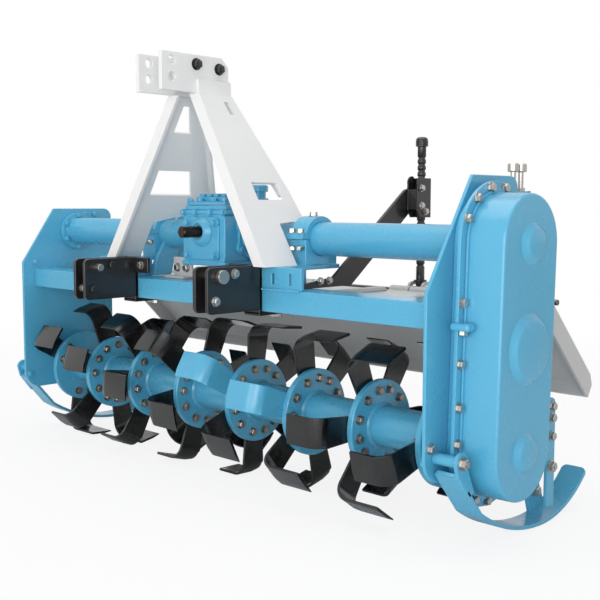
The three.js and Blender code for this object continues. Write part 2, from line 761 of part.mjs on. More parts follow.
place('rotor_tube', rotorTube(), paint);
flangePlaces.forEach((_, index) => place(`blade_gang_${index + 1}`, bladeGang(index), black));

// ---------------------------------------------------------------- stand the machine on its base
const box = new THREE.Box3().setFromObject(machine);
const middle = box.getCenter(new THREE.Vector3());
machine.position.set(-middle.x, -middle.y, -box.min.z);
const group = new THREE.Group();
group.add(machine);

export default group;
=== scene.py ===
"""Rotary tiller for a tractor's three-point hitch: the finished look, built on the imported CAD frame.

Sizes in the classes are millimetres from the rotor's axis, as a maker's drawing would give them:
+X runs along the rotor to the side gear case, -Y points to the tractor and +Z is up. The Datum
class turns them into the row frame's metres. Each sub-assembly is a class whose build method makes
its pieces through the Workshop; bolts and blades are repeated by Geometry Nodes.
"""

from __future__ import annotations

import json
import logging
import math
from dataclasses import dataclass, field
from enum import Enum
from typing import Iterable, Sequence

import bmesh
import bpy
from mathutils import Matrix, Vector

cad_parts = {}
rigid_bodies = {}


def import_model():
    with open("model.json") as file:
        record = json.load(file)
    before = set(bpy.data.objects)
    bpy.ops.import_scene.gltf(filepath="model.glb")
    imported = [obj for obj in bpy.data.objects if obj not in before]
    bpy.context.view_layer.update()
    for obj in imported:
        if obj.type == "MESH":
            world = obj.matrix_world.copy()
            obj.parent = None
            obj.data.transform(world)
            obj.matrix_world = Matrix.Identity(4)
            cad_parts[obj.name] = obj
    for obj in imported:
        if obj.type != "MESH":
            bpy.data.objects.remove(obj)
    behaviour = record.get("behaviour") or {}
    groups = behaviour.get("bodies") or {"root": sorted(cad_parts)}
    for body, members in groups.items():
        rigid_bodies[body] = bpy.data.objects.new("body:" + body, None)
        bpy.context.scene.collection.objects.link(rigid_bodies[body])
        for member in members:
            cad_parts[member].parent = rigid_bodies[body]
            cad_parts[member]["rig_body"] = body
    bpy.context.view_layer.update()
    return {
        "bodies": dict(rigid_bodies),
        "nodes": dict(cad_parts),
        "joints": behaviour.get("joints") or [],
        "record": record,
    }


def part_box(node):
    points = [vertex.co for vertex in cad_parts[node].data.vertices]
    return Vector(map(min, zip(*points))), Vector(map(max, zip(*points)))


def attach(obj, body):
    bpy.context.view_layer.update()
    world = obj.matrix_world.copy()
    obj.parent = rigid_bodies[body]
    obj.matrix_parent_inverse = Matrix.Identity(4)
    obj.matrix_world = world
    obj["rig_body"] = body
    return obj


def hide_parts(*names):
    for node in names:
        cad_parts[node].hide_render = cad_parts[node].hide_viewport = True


log = logging.getLogger("tiller")

Triple = tuple[float, float, float]
Pair = tuple[float, float]
Colour = tuple[float, float, float, float]
Place = tuple[Triple, Triple]
Level = float | bpy.types.NodeSocket

MM = 0.001
SEAM = 0.3  # the hair's breadth left between a fitted piece and what it lies on

PLATE_INNER: Pair = (-865.0, 895.0)
PLATE_THICKNESS = 10.0
CROSS_TUBE: Pair = (14.0, 492.0)
BEAM_TOP = 358.6


class Body(Enum):
    """The rigid bodies of the machine."""

    FRAME = "frame"
    ROTOR = "rotor"
    INPUT = "input"
    BOARD = "board"
    STRUT = "strut"


class Axis(Enum):
    """The row frame's three directions."""

    X = 0
    Y = 1
    Z = 2


# ------------------------------------------------------------------ where the machine stands


@dataclass
class Datum:
    """The rotor's axis in the row frame, read from the CAD nodes.

    Args:
        origin: the rotor's axis at the CAD source's zero, in metres.
    """

    origin: Vector = field(default_factory=Vector)

    @classmethod
    def from_frame(cls) -> Datum:
        """Reads the axis from the rotor tube and the left side plate.

        Returns:
            The datum of the loaded frame.
        """
        low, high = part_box("rotor_tube")
        centre = (low + high) / 2
        plate_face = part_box("left_side_plate")[1].x
        return cls(Vector((plate_face - PLATE_INNER[0] * MM, centre.y, centre.z)))

    def point(self, x: float, y: float, z: float) -> Vector:
        """A place in the row frame, from millimetres off the rotor's axis."""
        return self.origin + Vector((x, y, z)) * MM

    def matrix(self) -> Matrix:
        """The change from drawing millimetres to row-frame metres."""
        return Matrix.Translation(self.origin) @ Matrix.Scale(MM, 4)


# ------------------------------------------------------------------ shader groups


def set_level(tree: bpy.types.NodeTree, value: Level, socket: bpy.types.NodeSocket) -> None:
    """Gives a node's input a number, or links another node's output to it.

    Args:
        tree: the tree that both are in.
        value: the number or the output.
        socket: the input.
    """
    if isinstance(value, (int, float)):
        socket.default_value = value
    else:
        tree.links.new(value, socket)


def mixed(tree: bpy.types.NodeTree, factor: bpy.types.NodeSocket, first: bpy.types.NodeSocket,
          second: bpy.types.NodeSocket | Colour) -> bpy.types.NodeSocket:
    """Adds a mix of two colours.

    Args:
        tree: the tree it is added to.
        factor: the share of the second colour.
        first: the first colour.
        second: the second colour, from a socket or as a value.

    Returns:
        The mixed colour.
    """
    mix = tree.nodes.new("ShaderNodeMix")
    mix.data_type = "RGBA"
    colour_a, colour_b, result = mix.inputs[6], mix.inputs[7], mix.outputs[2]
    tree.links.new(factor, mix.inputs["Factor"])
    tree.links.new(first, colour_a)
    if isinstance(second, tuple):
        colour_b.default_value = second
    else:
        tree.links.new(second, colour_b)
    return result


class ShaderGroups:
    """Surface effects that several finishes share, each built once as a node group."""

    def __init__(self) -> None:
        """Builds all the groups."""
        self.tone = self._tone()
        self.gloss = self._gloss()
        self.peel = self._peel()
        self.scuff = self._scuff()

    @staticmethod
    def _start(name: str, inputs: Sequence[tuple[str, str, object]], output: tuple[str, str]
               ) -> tuple[bpy.types.NodeTree, bpy.types.Node, bpy.types.NodeSocket, bpy.types.NodeSocket]:
        """Makes an empty group with its sockets and an Object coordinate source.

        Args:
            name: the group's name.
            inputs: name, socket type and default of each input.
            output: name and socket type of the output.

        Returns:
            The tree, its input node, the socket that its result goes into and the coordinates.
        """
        tree = bpy.data.node_groups.new(name, "ShaderNodeTree")
        for label, kind, default in inputs:
            socket = tree.interface.new_socket(name=label, in_out="INPUT", socket_type=kind)
            socket.default_value = default
        tree.interface.new_socket(name=output[0], in_out="OUTPUT", socket_type=output[1])
        entry = tree.nodes.new("NodeGroupInput")
        leave = tree.nodes.new("NodeGroupOutput")
        place = tree.nodes.new("ShaderNodeTexCoord")
        return tree, entry, leave.inputs[output[0]], place.outputs["Object"]

    @staticmethod
    def _noise(tree: bpy.types.NodeTree, coordinates: bpy.types.NodeSocket, scale: Level, detail: float,
               rough: float = 0.5) -> bpy.types.NodeSocket:
        """Adds a noise texture.

        Args:
            tree: the tree it is added to.
            coordinates: where the texture is read.
            scale: its scale.
            detail: how many octaves it has.
            rough: how strong the finer octaves are.

        Returns:
            The noise, from 0 to 1.
        """
        noise = tree.nodes.new("ShaderNodeTexNoise")
        tree.links.new(coordinates, noise.inputs["Vector"])
        for label, value in (("Scale", scale), ("Detail", detail), ("Roughness", rough)):
            set_level(tree, value, noise.inputs[label])
        return noise.outputs["Fac"]

    @staticmethod
    def _ranged(tree: bpy.types.NodeTree, value: bpy.types.NodeSocket, source: Pair,
                target: tuple[Level, Level]) -> bpy.types.NodeSocket:
        """Adds a Map Range.

        Args:
            tree: the tree it is added to.
            value: what is mapped.
            source: the value's lowest and highest level.
            target: what those levels become.

        Returns:
            The mapped value.
        """
        ranged = tree.nodes.new("ShaderNodeMapRange")
        tree.links.new(value, ranged.inputs["Value"])
        for label, limit in zip(("From Min", "From Max", "To Min", "To Max"), (*source, *target)):
            set_level(tree, limit, ranged.inputs[label])
        return ranged.outputs["Result"]

    def _tone(self) -> bpy.types.NodeTree:
        """A colour that drifts slowly towards a deeper one.

        Returns:
            The group.
        """
        tree, entry, result, place = self._start(
            "Tone drift",
            [("Colour", "NodeSocketColor", (0.5, 0.5, 0.5, 1)), ("Deep", "NodeSocketColor", (0.3, 0.3, 0.3, 1)),
             ("Amount", "NodeSocketFloat", 0.3), ("Scale", "NodeSocketFloat", 3.0)],
            ("Colour", "NodeSocketColor"),
        )
        broad = self._noise(tree, place, entry.outputs["Scale"], 3.0)
        factor = self._ranged(tree, broad, (0.35, 0.7), (0.0, entry.outputs["Amount"]))
        tree.links.new(mixed(tree, factor, entry.outputs["Colour"], entry.outputs["Deep"]), result)
        return tree

    def _gloss(self) -> bpy.types.NodeTree:
        """Roughness that drifts between two levels, as handled or wiped paint does.

        Returns:
            The group.
        """
        tree, entry, result, place = self._start(
            "Gloss drift",
            [("Low", "NodeSocketFloat", 0.2), ("High", "NodeSocketFloat", 0.4), ("Scale", "NodeSocketFloat", 9.0)],
            ("Roughness", "NodeSocketFloat"),
        )
        noise = self._noise(tree, place, entry.outputs["Scale"], 5.0, 0.6)
        tree.links.new(self._ranged(tree, noise, (0.3, 0.7), (entry.outputs["Low"], entry.outputs["High"])), result)
        return tree

    def _peel(self) -> bpy.types.NodeTree:
        """The fine waviness of sprayed paint, with broader waves from the plate under it.

        Returns:
            The group.
        """
        tree, entry, result, place = self._start(
            "Spray texture",
            [("Fine", "NodeSocketFloat", 220.0), ("Broad", "NodeSocketFloat", 14.0), ("Share", "NodeSocketFloat", 0.5)],
            ("Height", "NodeSocketFloat"),
        )
        mix = tree.nodes.new("ShaderNodeMix")
        mix.data_type = "FLOAT"
        tree.links.new(entry.outputs["Share"], mix.inputs["Factor"])
        for label, scale in (("A", "Fine"), ("B", "Broad")):
            tree.links.new(self._noise(tree, place, entry.outputs[scale], 1.0), mix.inputs[label])
        tree.links.new(mix.outputs["Result"], result)
        return tree

    def _scuff(self) -> bpy.types.NodeTree:
        """Fine streaks and rubbed spots, as a mask.

        Returns:
            The group.
        """
        tree, entry, result, place = self._start(
            "Rubbed streaks",
            [("Scale", "NodeSocketFloat", 30.0), ("Amount", "NodeSocketFloat", 0.3)],
            ("Mask", "NodeSocketFloat"),
        )
        stretch = tree.nodes.new("ShaderNodeMapping")
        stretch.inputs["Scale"].default_value = (1.0, 6.0, 0.8)
        stretch.inputs["Rotation"].default_value = (0.4, 0.2, 0.5)
        tree.links.new(place, stretch.inputs["Vector"])
        streaks = self._noise(tree, stretch.outputs["Vector"], entry.outputs["Scale"], 6.0, 0.7)
        tree.links.new(self._ranged(tree, streaks, (0.55, 0.75), (0.0, entry.outputs["Amount"])), result)
        return tree


# ------------------------------------------------------------------ finishes


def linear(value: int) -> float:
    """The linear level of a chart value from 0 to 255."""
    share = value / 255
    return share / 12.92 if share <= 0.04045 else ((share + 0.055) / 1.055) ** 2.4


def srgb(red: int, green: int, blue: int) -> Colour:
    """A linear colour from the 0 to 255 values of a paint chart."""
    return (linear(red), linear(green), linear(blue), 1.0)


@dataclass(frozen=True)
class Finish:
    """One finish, as paint chips and levels.

    Args:
        name: the material's name.
        slot: the record's material slot it belongs to; not used.
        colour: the main colour.
        deep: the colour that it drifts to.
        drift: how much of the drift shows.
        rough: lowest and highest roughness.
        metallic: 0 for paint, 1 for bare metal.
        coat: weight of the clear gloss over it.
        bump: height of its surface texture, in metres.
        fine: scale of the fine texture.
        worn: colour of the rubbed streaks.
        scuffs: how much of the streaks shows.
    """

    name: str
    slot: str
    colour: Colour
    deep: Colour
    drift: float = 0.3
    rough: Pair = (0.25, 0.4)
    metallic: float = 0.0
    coat: float = 0.0
    bump: float = 0.0004
    fine: float = 220.0
    worn: Colour = (0.5, 0.5, 0.5, 1.0)
    scuffs: float = 0.0

    def material(self, groups: ShaderGroups) -> bpy.types.Material:
        """Builds the material from the shared groups.

        Args:
            groups: the shader groups.

        Returns:
            The finished material.
        """
        made = bpy.data.materials.new(self.name)
        made.use_nodes = True
        made.diffuse_color = self.colour
        tree = made.node_tree
        shader = tree.nodes["Principled BSDF"]
        for label, value in (("Metallic", self.metallic), ("Coat Weight", self.coat), ("Coat Roughness", 0.12)):
            shader.inputs[label].default_value = value
        tone = self._group(tree, groups.tone, {"Colour": self.colour, "Deep": self.deep, "Amount": self.drift})
        scuff = self._group(tree, groups.scuff, {"Amount": self.scuffs})
        colour = mixed(tree, scuff.outputs["Mask"], tone.outputs["Colour"], self.worn)
        tree.links.new(colour, shader.inputs["Base Color"])
        gloss = self._group(tree, groups.gloss, {"Low": self.rough[0], "High": self.rough[1]})
        tree.links.new(gloss.outputs["Roughness"], shader.inputs["Roughness"])
        peel = self._group(tree, groups.peel, {"Fine": self.fine})
        bump = tree.nodes.new("ShaderNodeBump")
        bump.inputs["Distance"].default_value = self.bump
        bump.inputs["Strength"].default_value = 0.6
        tree.links.new(peel.outputs["Height"], bump.inputs["Height"])
        tree.links.new(bump.outputs["Normal"], shader.inputs["Normal"])
        return made

    @staticmethod
    def _group(tree: bpy.types.NodeTree, group: bpy.types.NodeTree, values: dict[str, float | Colour]
               ) -> bpy.types.Node:
        """Adds a shader group to a material.

        Args:
            tree: the material's tree.
            group: the group.
            values: the group's inputs by name.

        Returns:
            The group's node.
        """
        node = tree.nodes.new("ShaderNodeGroup")
        node.node_tree = group
        for label, value in values.items():
            node.inputs[label].default_value = value
        return node


BLUE_PAINT = Finish("Sky blue paint", "blue_paint", srgb(83, 169, 204), srgb(74, 160, 196), drift=0.45,
                    rough=(0.24, 0.32), coat=0.2, bump=0.00008)
WHITE_PAINT = Finish("White mast paint", "white_paint", srgb(233, 233, 232), srgb(220, 220, 220), drift=0.4,
                     rough=(0.35, 0.5), coat=0.15, bump=0.0005)
GREY_PAINT = Finish("Grey hood paint", "grey_paint", srgb(198, 198, 197), srgb(178, 178, 178), drift=0.5,
                    rough=(0.38, 0.55), coat=0.1, bump=0.0006)
BLACK_PAINT = Finish("Black bracket paint", "black_paint", srgb(22, 22, 23), srgb(14, 14, 15), drift=0.6,
                     rough=(0.28, 0.45), coat=0.3, bump=0.0006, worn=srgb(70, 70, 70), scuffs=0.15)
BLADE_BLACK = Finish("Black blade lacquer", "black_paint", srgb(11, 11, 11), srgb(5, 5, 6), drift=0.7,
                     rough=(0.16, 0.36), coat=0.3, bump=0.0007, fine=90.0, worn=srgb(70, 68, 66), scuffs=0.22)
ZINC = Finish("Zinc bolts", "bare_steel", srgb(190, 186, 180), srgb(150, 146, 140), drift=0.5,
              rough=(0.25, 0.4), metallic=1.0, bump=0.0002, fine=400.0)
DARK_ZINC = Finish("Weathered bolts", "bare_steel", srgb(178, 170, 160), srgb(112, 98, 88), drift=0.7,
                   rough=(0.28, 0.45), metallic=1.0, bump=0.0002, fine=400.0)
CAST_BLUE = Finish("Sky blue cast iron", "blue_paint", srgb(80, 169, 206), srgb(66, 150, 190), drift=0.6,
                   rough=(0.26, 0.4), coat=0.3, bump=0.0011, fine=130.0)
BROWN_STEEL = Finish("Preserved shaft steel", "bare_steel", srgb(74, 56, 48), srgb(44, 36, 32), drift=0.8,
                     rough=(0.3, 0.5), metallic=0.8, bump=0.0004)
BARE_STEEL = Finish("Oiled bare steel", "bare_steel", srgb(120, 112, 104), srgb(84, 74, 66), drift=0.8,
                    rough=(0.25, 0.45), metallic=1.0, bump=0.0003, worn=srgb(60, 44, 34), scuffs=0.5)


class Paintshop:
    """Makes each finish once and hands it out."""

    def __init__(self) -> None:
        """Builds the shader groups."""
        self.groups = ShaderGroups()
        self._made: dict[str, bpy.types.Material] = {}

    def of(self, finish: Finish) -> bpy.types.Material:
        """The material of a finish."""
        if finish.name not in self._made:
            self._made[finish.name] = finish.material(self.groups)
        return self._made[finish.name]


# ------------------------------------------------------------------ mesh work


def block(bm: bmesh.types.BMesh, x: Pair, y: Pair, z: Pair) -> None:
    """Adds a block between two limits on each axis."""
    for vert in bmesh.ops.create_cube(bm, size=1.0)["verts"]:
        vert.co = Vector([low + (share + 0.5) * (high - low) for share, (low, high) in zip(vert.co, (x, y, z))])


def span(side: int, near: float, far: float, shift: float = 0.0) -> Pair:
    """Two limits, mirrored for side -1 and then shifted, lowest first."""
    low, high = sorted((side * near + shift, side * far + shift))
    return low, high


def around(centre: Pair, radius: float, turns: Iterable[float], lean: float = 0.0) -> list[Pair]:
    """Points on a circle, at turns in degrees less a lean in radians."""
    angles = [math.radians(turn) - lean for turn in turns]
    return [(centre[0] + radius * math.cos(a), centre[1] + radius * math.sin(a)) for a in angles]


def facing(points: Iterable[Pair], x: float, side: float) -> list[Place]:
    """Points across X as fastener places at one X, turned to side 1 or -1."""
    return [((x, y, z), (side, 0, 0)) for y, z in points]


def turned(bm: bmesh.types.BMesh, axis: Axis, centre: Triple, profile: Sequence[Pair], sides: int = 48) -> None:
    """Adds a turned piece: a closed profile of (place along the axis, radius) points.

    Args:
        bm: the mesh that it is added to.
        axis: the axis that it is turned about.
        centre: a point on that axis; its place along the axis is added to the profile's.
        profile: the points; a radius of 0 at both ends closes a solid piece, otherwise the last
            point joins the first and makes a hollow one.
        sides: how many sides the round has.
    """
    solid = profile[0][1] == 0 and profile[-1][1] == 0
    first, second = [(1, 2), (2, 0), (0, 1)][axis.value]
    rings = []
    for along, radius in profile:
        if radius == 0:
            place = list(centre)
            place[axis.value] += along
            rings.append([bm.verts.new(place)])
            continue
        ring = []
        for step in range(sides):
            turn = 2 * math.pi * step / sides
            place = list(centre)
            place[axis.value] += along
            place[first] += radius * math.cos(turn)
            place[second] += radius * math.sin(turn)
            ring.append(bm.verts.new(place))
        rings.append(ring)
    pairs = list(zip(rings, rings[1:])) + ([] if solid else [(rings[-1], rings[0])])
    for low, high in pairs:
        for step in range(sides):
            after = (step + 1) % sides
            if len(low) == 1:
                bm.faces.new((low[0], high[after], high[step]))
            elif len(high) == 1:
                bm.faces.new((low[step], low[after], high[0]))
            else:
                bm.faces.new((low[step], low[after], high[after], high[step]))


def prism(bm: bmesh.types.BMesh, axis: Axis, outline: Sequence[Pair], low: float, high: float) -> None:
    """Adds a flat plate: an outline in the plane across an axis, between two places along it.

    Args:
        bm: the mesh that it is added to.
        axis: the direction of its thickness.
        outline: its corners, as (Y, Z) for X, (X, Z) for Y and (X, Y) for Z.
        low: where it starts along the axis.
        high: where it ends.
    """
    first, second = [(1, 2), (0, 2), (0, 1)][axis.value]
    loops = []
    for along in (low, high):
        loop = []
        for a, b in outline:
            place = [0.0, 0.0, 0.0]
            place[axis.value], place[first], place[second] = along, a, b
            loop.append(bm.verts.new(place))
        loops.append(loop)
    bm.faces.new(loops[0])
    bm.faces.new(list(reversed(loops[1])))
    count = len(outline)
    for i in range(count):
        j = (i + 1) % count
        bm.faces.new((loops[0][i], loops[1][i], loops[1][j], loops[0][j]))


def strip(bm: bmesh.types.BMesh, rows: Sequence[Sequence[Vector]]) -> None:
    """Adds a closed bar with both ends capped.

    Args:
        bm: the mesh that it is added to.
        rows: its cross-sections from end to end, each a ring of corners.
    """
    rings = [[bm.verts.new(corner) for corner in row] for row in rows]
    count = len(rings[0])
    for low, high in zip(rings, rings[1:]):
        for i in range(count):
            j = (i + 1) % count
            bm.faces.new((low[i], low[j], high[j], high[i]))
    bm.faces.new(list(reversed(rings[0])))
    bm.faces.new(rings[-1])


def arc(centre: Pair, radius: float, start: float, end: float, steps: int) -> list[Pair]:
    """Points on an arc.

    Args:
        centre: the arc's centre.
        radius: its radius.
        start: the angle of its first point, in degrees.
        end: the angle of its last point.
        steps: how many steps lie between them.

    Returns:
        The points, one more than the steps.
    """
    points = []
    for step in range(steps + 1):
        turn = math.radians(start + (end - start) * step / steps)
        points.append((centre[0] + radius * math.cos(turn), centre[1] + radius * math.sin(turn)))
    return points


# ------------------------------------------------------------------ geometry-nodes hardware


@dataclass
class Pattern:
    """A Geometry Nodes tree that sets one shape at many points.

    Args:
        name: the tree's name.
    """

    name: str
    _tree: bpy.types.NodeTree | None = field(default=None, repr=False)

    def tree(self) -> bpy.types.NodeTree:
        """The node tree, built at its first use."""
        if self._tree is None:
            self._tree = self._build()
        return self._tree

    def _build(self) -> bpy.types.NodeTree:
        """Builds the tree; each kind of pattern has its own."""
        raise NotImplementedError

    def _start(self, inputs: Sequence[tuple[str, str, object]]) -> tuple[bpy.types.NodeTree, bpy.types.Node]:
        """Makes a tree that takes points and a finish.

        Args:
            inputs: name, socket type and default of each further input; None leaves the default.

        Returns:
            The tree and its input node.
        """
        tree = bpy.data.node_groups.new(self.name, "GeometryNodeTree")
        for label, kind, default in (("Points", "NodeSocketGeometry", None), *inputs,
                                     ("Finish", "NodeSocketMaterial", None)):
            socket = tree.interface.new_socket(name=label, in_out="INPUT", socket_type=kind)
            if default is not None:
                socket.default_value = default
        tree.interface.new_socket(name="Geometry", in_out="OUTPUT", socket_type="NodeSocketGeometry")
        return tree, tree.nodes.new("NodeGroupInput")

    @staticmethod
    def _read(tree: bpy.types.NodeTree, attribute: str) -> bpy.types.NodeSocket:
        """Adds a node that reads a vector attribute of the points.

        Args:
            tree: the tree it is added to.
            attribute: the attribute's name.

        Returns:
            The vector.
        """
        named = tree.nodes.new("GeometryNodeInputNamedAttribute")
        named.data_type = "FLOAT_VECTOR"
        named.inputs["Name"].default_value = attribute
        return named.outputs["Attribute"]

    @staticmethod
    def _placed(tree: bpy.types.NodeTree, entry: bpy.types.Node, shape: bpy.types.NodeSocket,
                turn: bpy.types.NodeSocket) -> bpy.types.Node:
        """Sets the shape on every point, makes the copies real and gives them the finish.

        Args:
            tree: the tree.
            entry: its input node.
            shape: the geometry that is repeated.
            turn: the rotation of each copy.

        Returns:
            The node that holds the copies before they are made real.
        """
        placed = tree.nodes.new("GeometryNodeInstanceOnPoints")
        real = tree.nodes.new("GeometryNodeRealizeInstances")
        dressed = tree.nodes.new("GeometryNodeSetMaterial")
        leave = tree.nodes.new("NodeGroupOutput")
        for source, target in ((entry.outputs["Points"], placed.inputs["Points"]),
                               (shape, placed.inputs["Instance"]),
                               (turn, placed.inputs["Rotation"]),
                               (placed.outputs["Instances"], real.inputs["Geometry"]),
                               (real.outputs["Geometry"], dressed.inputs["Geometry"]),
                               (entry.outputs["Finish"], dressed.inputs["Material"]),
                               (dressed.outputs["Geometry"], leave.inputs["Geometry"])):
            tree.links.new(source, target)
        return placed


@dataclass
class Fastener(Pattern):
    """Hexagon bolts set at points, each turned to face along the point's outwards attribute.

    Args:
        name: the tree's name.
        head: the head's radius over its corners, in millimetres.
        height: the head's height.
        washer: the washer's radius.
        stud: how far the thread stands out of the head; 0 for none.
        washer_height: the washer's thickness.
        chamfer: height of the head's chamfered top.
        seed: the seed of the heads' random turns.
    """

    head: float = 11.0
    height: float = 8.0
    washer: float = 13.5
    stud: float = 0.0
    washer_height: float = 2.0
    chamfer: float = 1.6
    seed: int = 7

    def _build(self) -> bpy.types.NodeTree:
        """Builds the tree: a washer, a chamfered hexagon and a stud, placed on every point.

        Returns:
            The tree.
        """
        sizes = (("Head radius", self.head), ("Head height", self.height), ("Washer radius", self.washer),
                 ("Stud length", self.stud))
        tree, entry = self._start([(label, "NodeSocketFloat", value * MM) for label, value in sizes]
                                  + [("Seed", "NodeSocketInt", self.seed)])
        head, height, washer, stud = (entry.outputs[label] for label, _ in sizes)
        base = self.washer_height * MM
        rise = self._math(tree, "ADD", height, base)
        slim = self._math(tree, "MULTIPLY", head, 0.5)
        joined = tree.nodes.new("GeometryNodeJoinGeometry")
        for sides, low, high, depth, lift in (
                (18, washer, washer, base, 0.0),
                (6, head, head, height, base),
                (6, head, self._math(tree, "MULTIPLY", head, 0.8), self.chamfer * MM, rise),
                (10, slim, slim, stud, rise)):
            tree.links.new(self._cone(tree, sides, (low, high), depth, lift), joined.inputs["Geometry"])
        self._placed(tree, entry, joined.outputs["Geometry"], self._turn(tree, entry.outputs["Seed"]))
        return tree

    def _turn(self, tree: bpy.types.NodeTree, seed: bpy.types.NodeSocket) -> bpy.types.NodeSocket:
        """Aligns a bolt to its point's outwards direction and turns it about that by chance.

        Args:
            tree: the tree.
            seed: the seed of the chance.

        Returns:
            The rotation.
        """
        nodes, links = tree.nodes, tree.links
        aligned = nodes.new("FunctionNodeAlignRotationToVector")
        aligned.axis = "Z"
        links.new(self._read(tree, "outwards"), aligned.inputs["Vector"])
        spin = nodes.new("FunctionNodeRandomValue")
        spin.data_type = "FLOAT"
        lowest, highest, chosen = spin.inputs[2], spin.inputs[3], spin.outputs[1]
        lowest.default_value = 0.0
        highest.default_value = math.pi / 3
        links.new(seed, spin.inputs["Seed"])
        twist = nodes.new("ShaderNodeCombineXYZ")
        links.new(chosen, twist.inputs["Z"])
        turn = nodes.new("FunctionNodeEulerToRotation")
        links.new(twist.outputs["Vector"], turn.inputs["Euler"])
        rotated = nodes.new("FunctionNodeRotateRotation")
        rotated.rotation_space = "LOCAL"
        links.new(aligned.outputs["Rotation"], rotated.inputs["Rotation"])
        links.new(turn.outputs["Rotation"], rotated.inputs["Rotate By"])
        return rotated.outputs["Rotation"]

    @staticmethod
    def _cone(tree: bpy.types.NodeTree, sides: int, radii: tuple[Level, Level], depth: Level,
              lift: Level) -> bpy.types.NodeSocket:
        """Adds a cone or cylinder that stands on a height.

        Args:
            tree: the tree it is added to.
            sides: how many sides it has.
            radii: its radius at the bottom and at the top.
            depth: its height.
            lift: where its bottom is.

        Returns:
            Its geometry.
        """
        cone = tree.nodes.new("GeometryNodeMeshCone")
        cone.inputs["Vertices"].default_value = sides
        for label, value in (("Radius Bottom", radii[0]), ("Radius Top", radii[1]), ("Depth", depth)):
            set_level(tree, value, cone.inputs[label])
        up = tree.nodes.new("ShaderNodeCombineXYZ")
        set_level(tree, lift, up.inputs["Z"])
        moved = tree.nodes.new("GeometryNodeTransform")
        tree.links.new(cone.outputs["Mesh"], moved.inputs["Geometry"])
        tree.links.new(up.outputs["Vector"], moved.inputs["Translation"])
        return moved.outputs["Geometry"]

    @staticmethod
    def _math(tree: bpy.types.NodeTree, operation: str, value: bpy.types.NodeSocket,
              number: float) -> bpy.types.NodeSocket:
        """Adds a sum or product with a number.

        Args:
            tree: the tree it is added to.
            operation: ADD or MULTIPLY.
            value: the value.
            number: the number.

        Returns:
            The result.
        """
        node = tree.nodes.new("ShaderNodeMath")
        node.operation = operation
        tree.links.new(value, node.inputs[0])
        node.inputs[1].default_value = number
        return node.outputs["Value"]


@dataclass
class Stamp(Pattern):
    """A modelled part set at many places, turned by each point's angles attribute."""

    def _build(self) -> bpy.types.NodeTree:
        """Builds the tree: the part on every point.

        Returns:
            The tree.
        """
        tree, entry = self._start([("Part", "NodeSocketObject", None), ("Size", "NodeSocketFloat", 1.0)])
        part = tree.nodes.new("GeometryNodeObjectInfo")
        tree.links.new(entry.outputs["Part"], part.inputs["Object"])
        turn = tree.nodes.new("FunctionNodeEulerToRotation")
        tree.links.new(self._read(tree, "angles"), turn.inputs["Euler"])
        placed = self._placed(tree, entry, part.outputs["Geometry"], turn.outputs["Rotation"])
        tree.links.new(entry.outputs["Size"], placed.inputs["Scale"])
        return tree


# ------------------------------------------------------------------ workshop


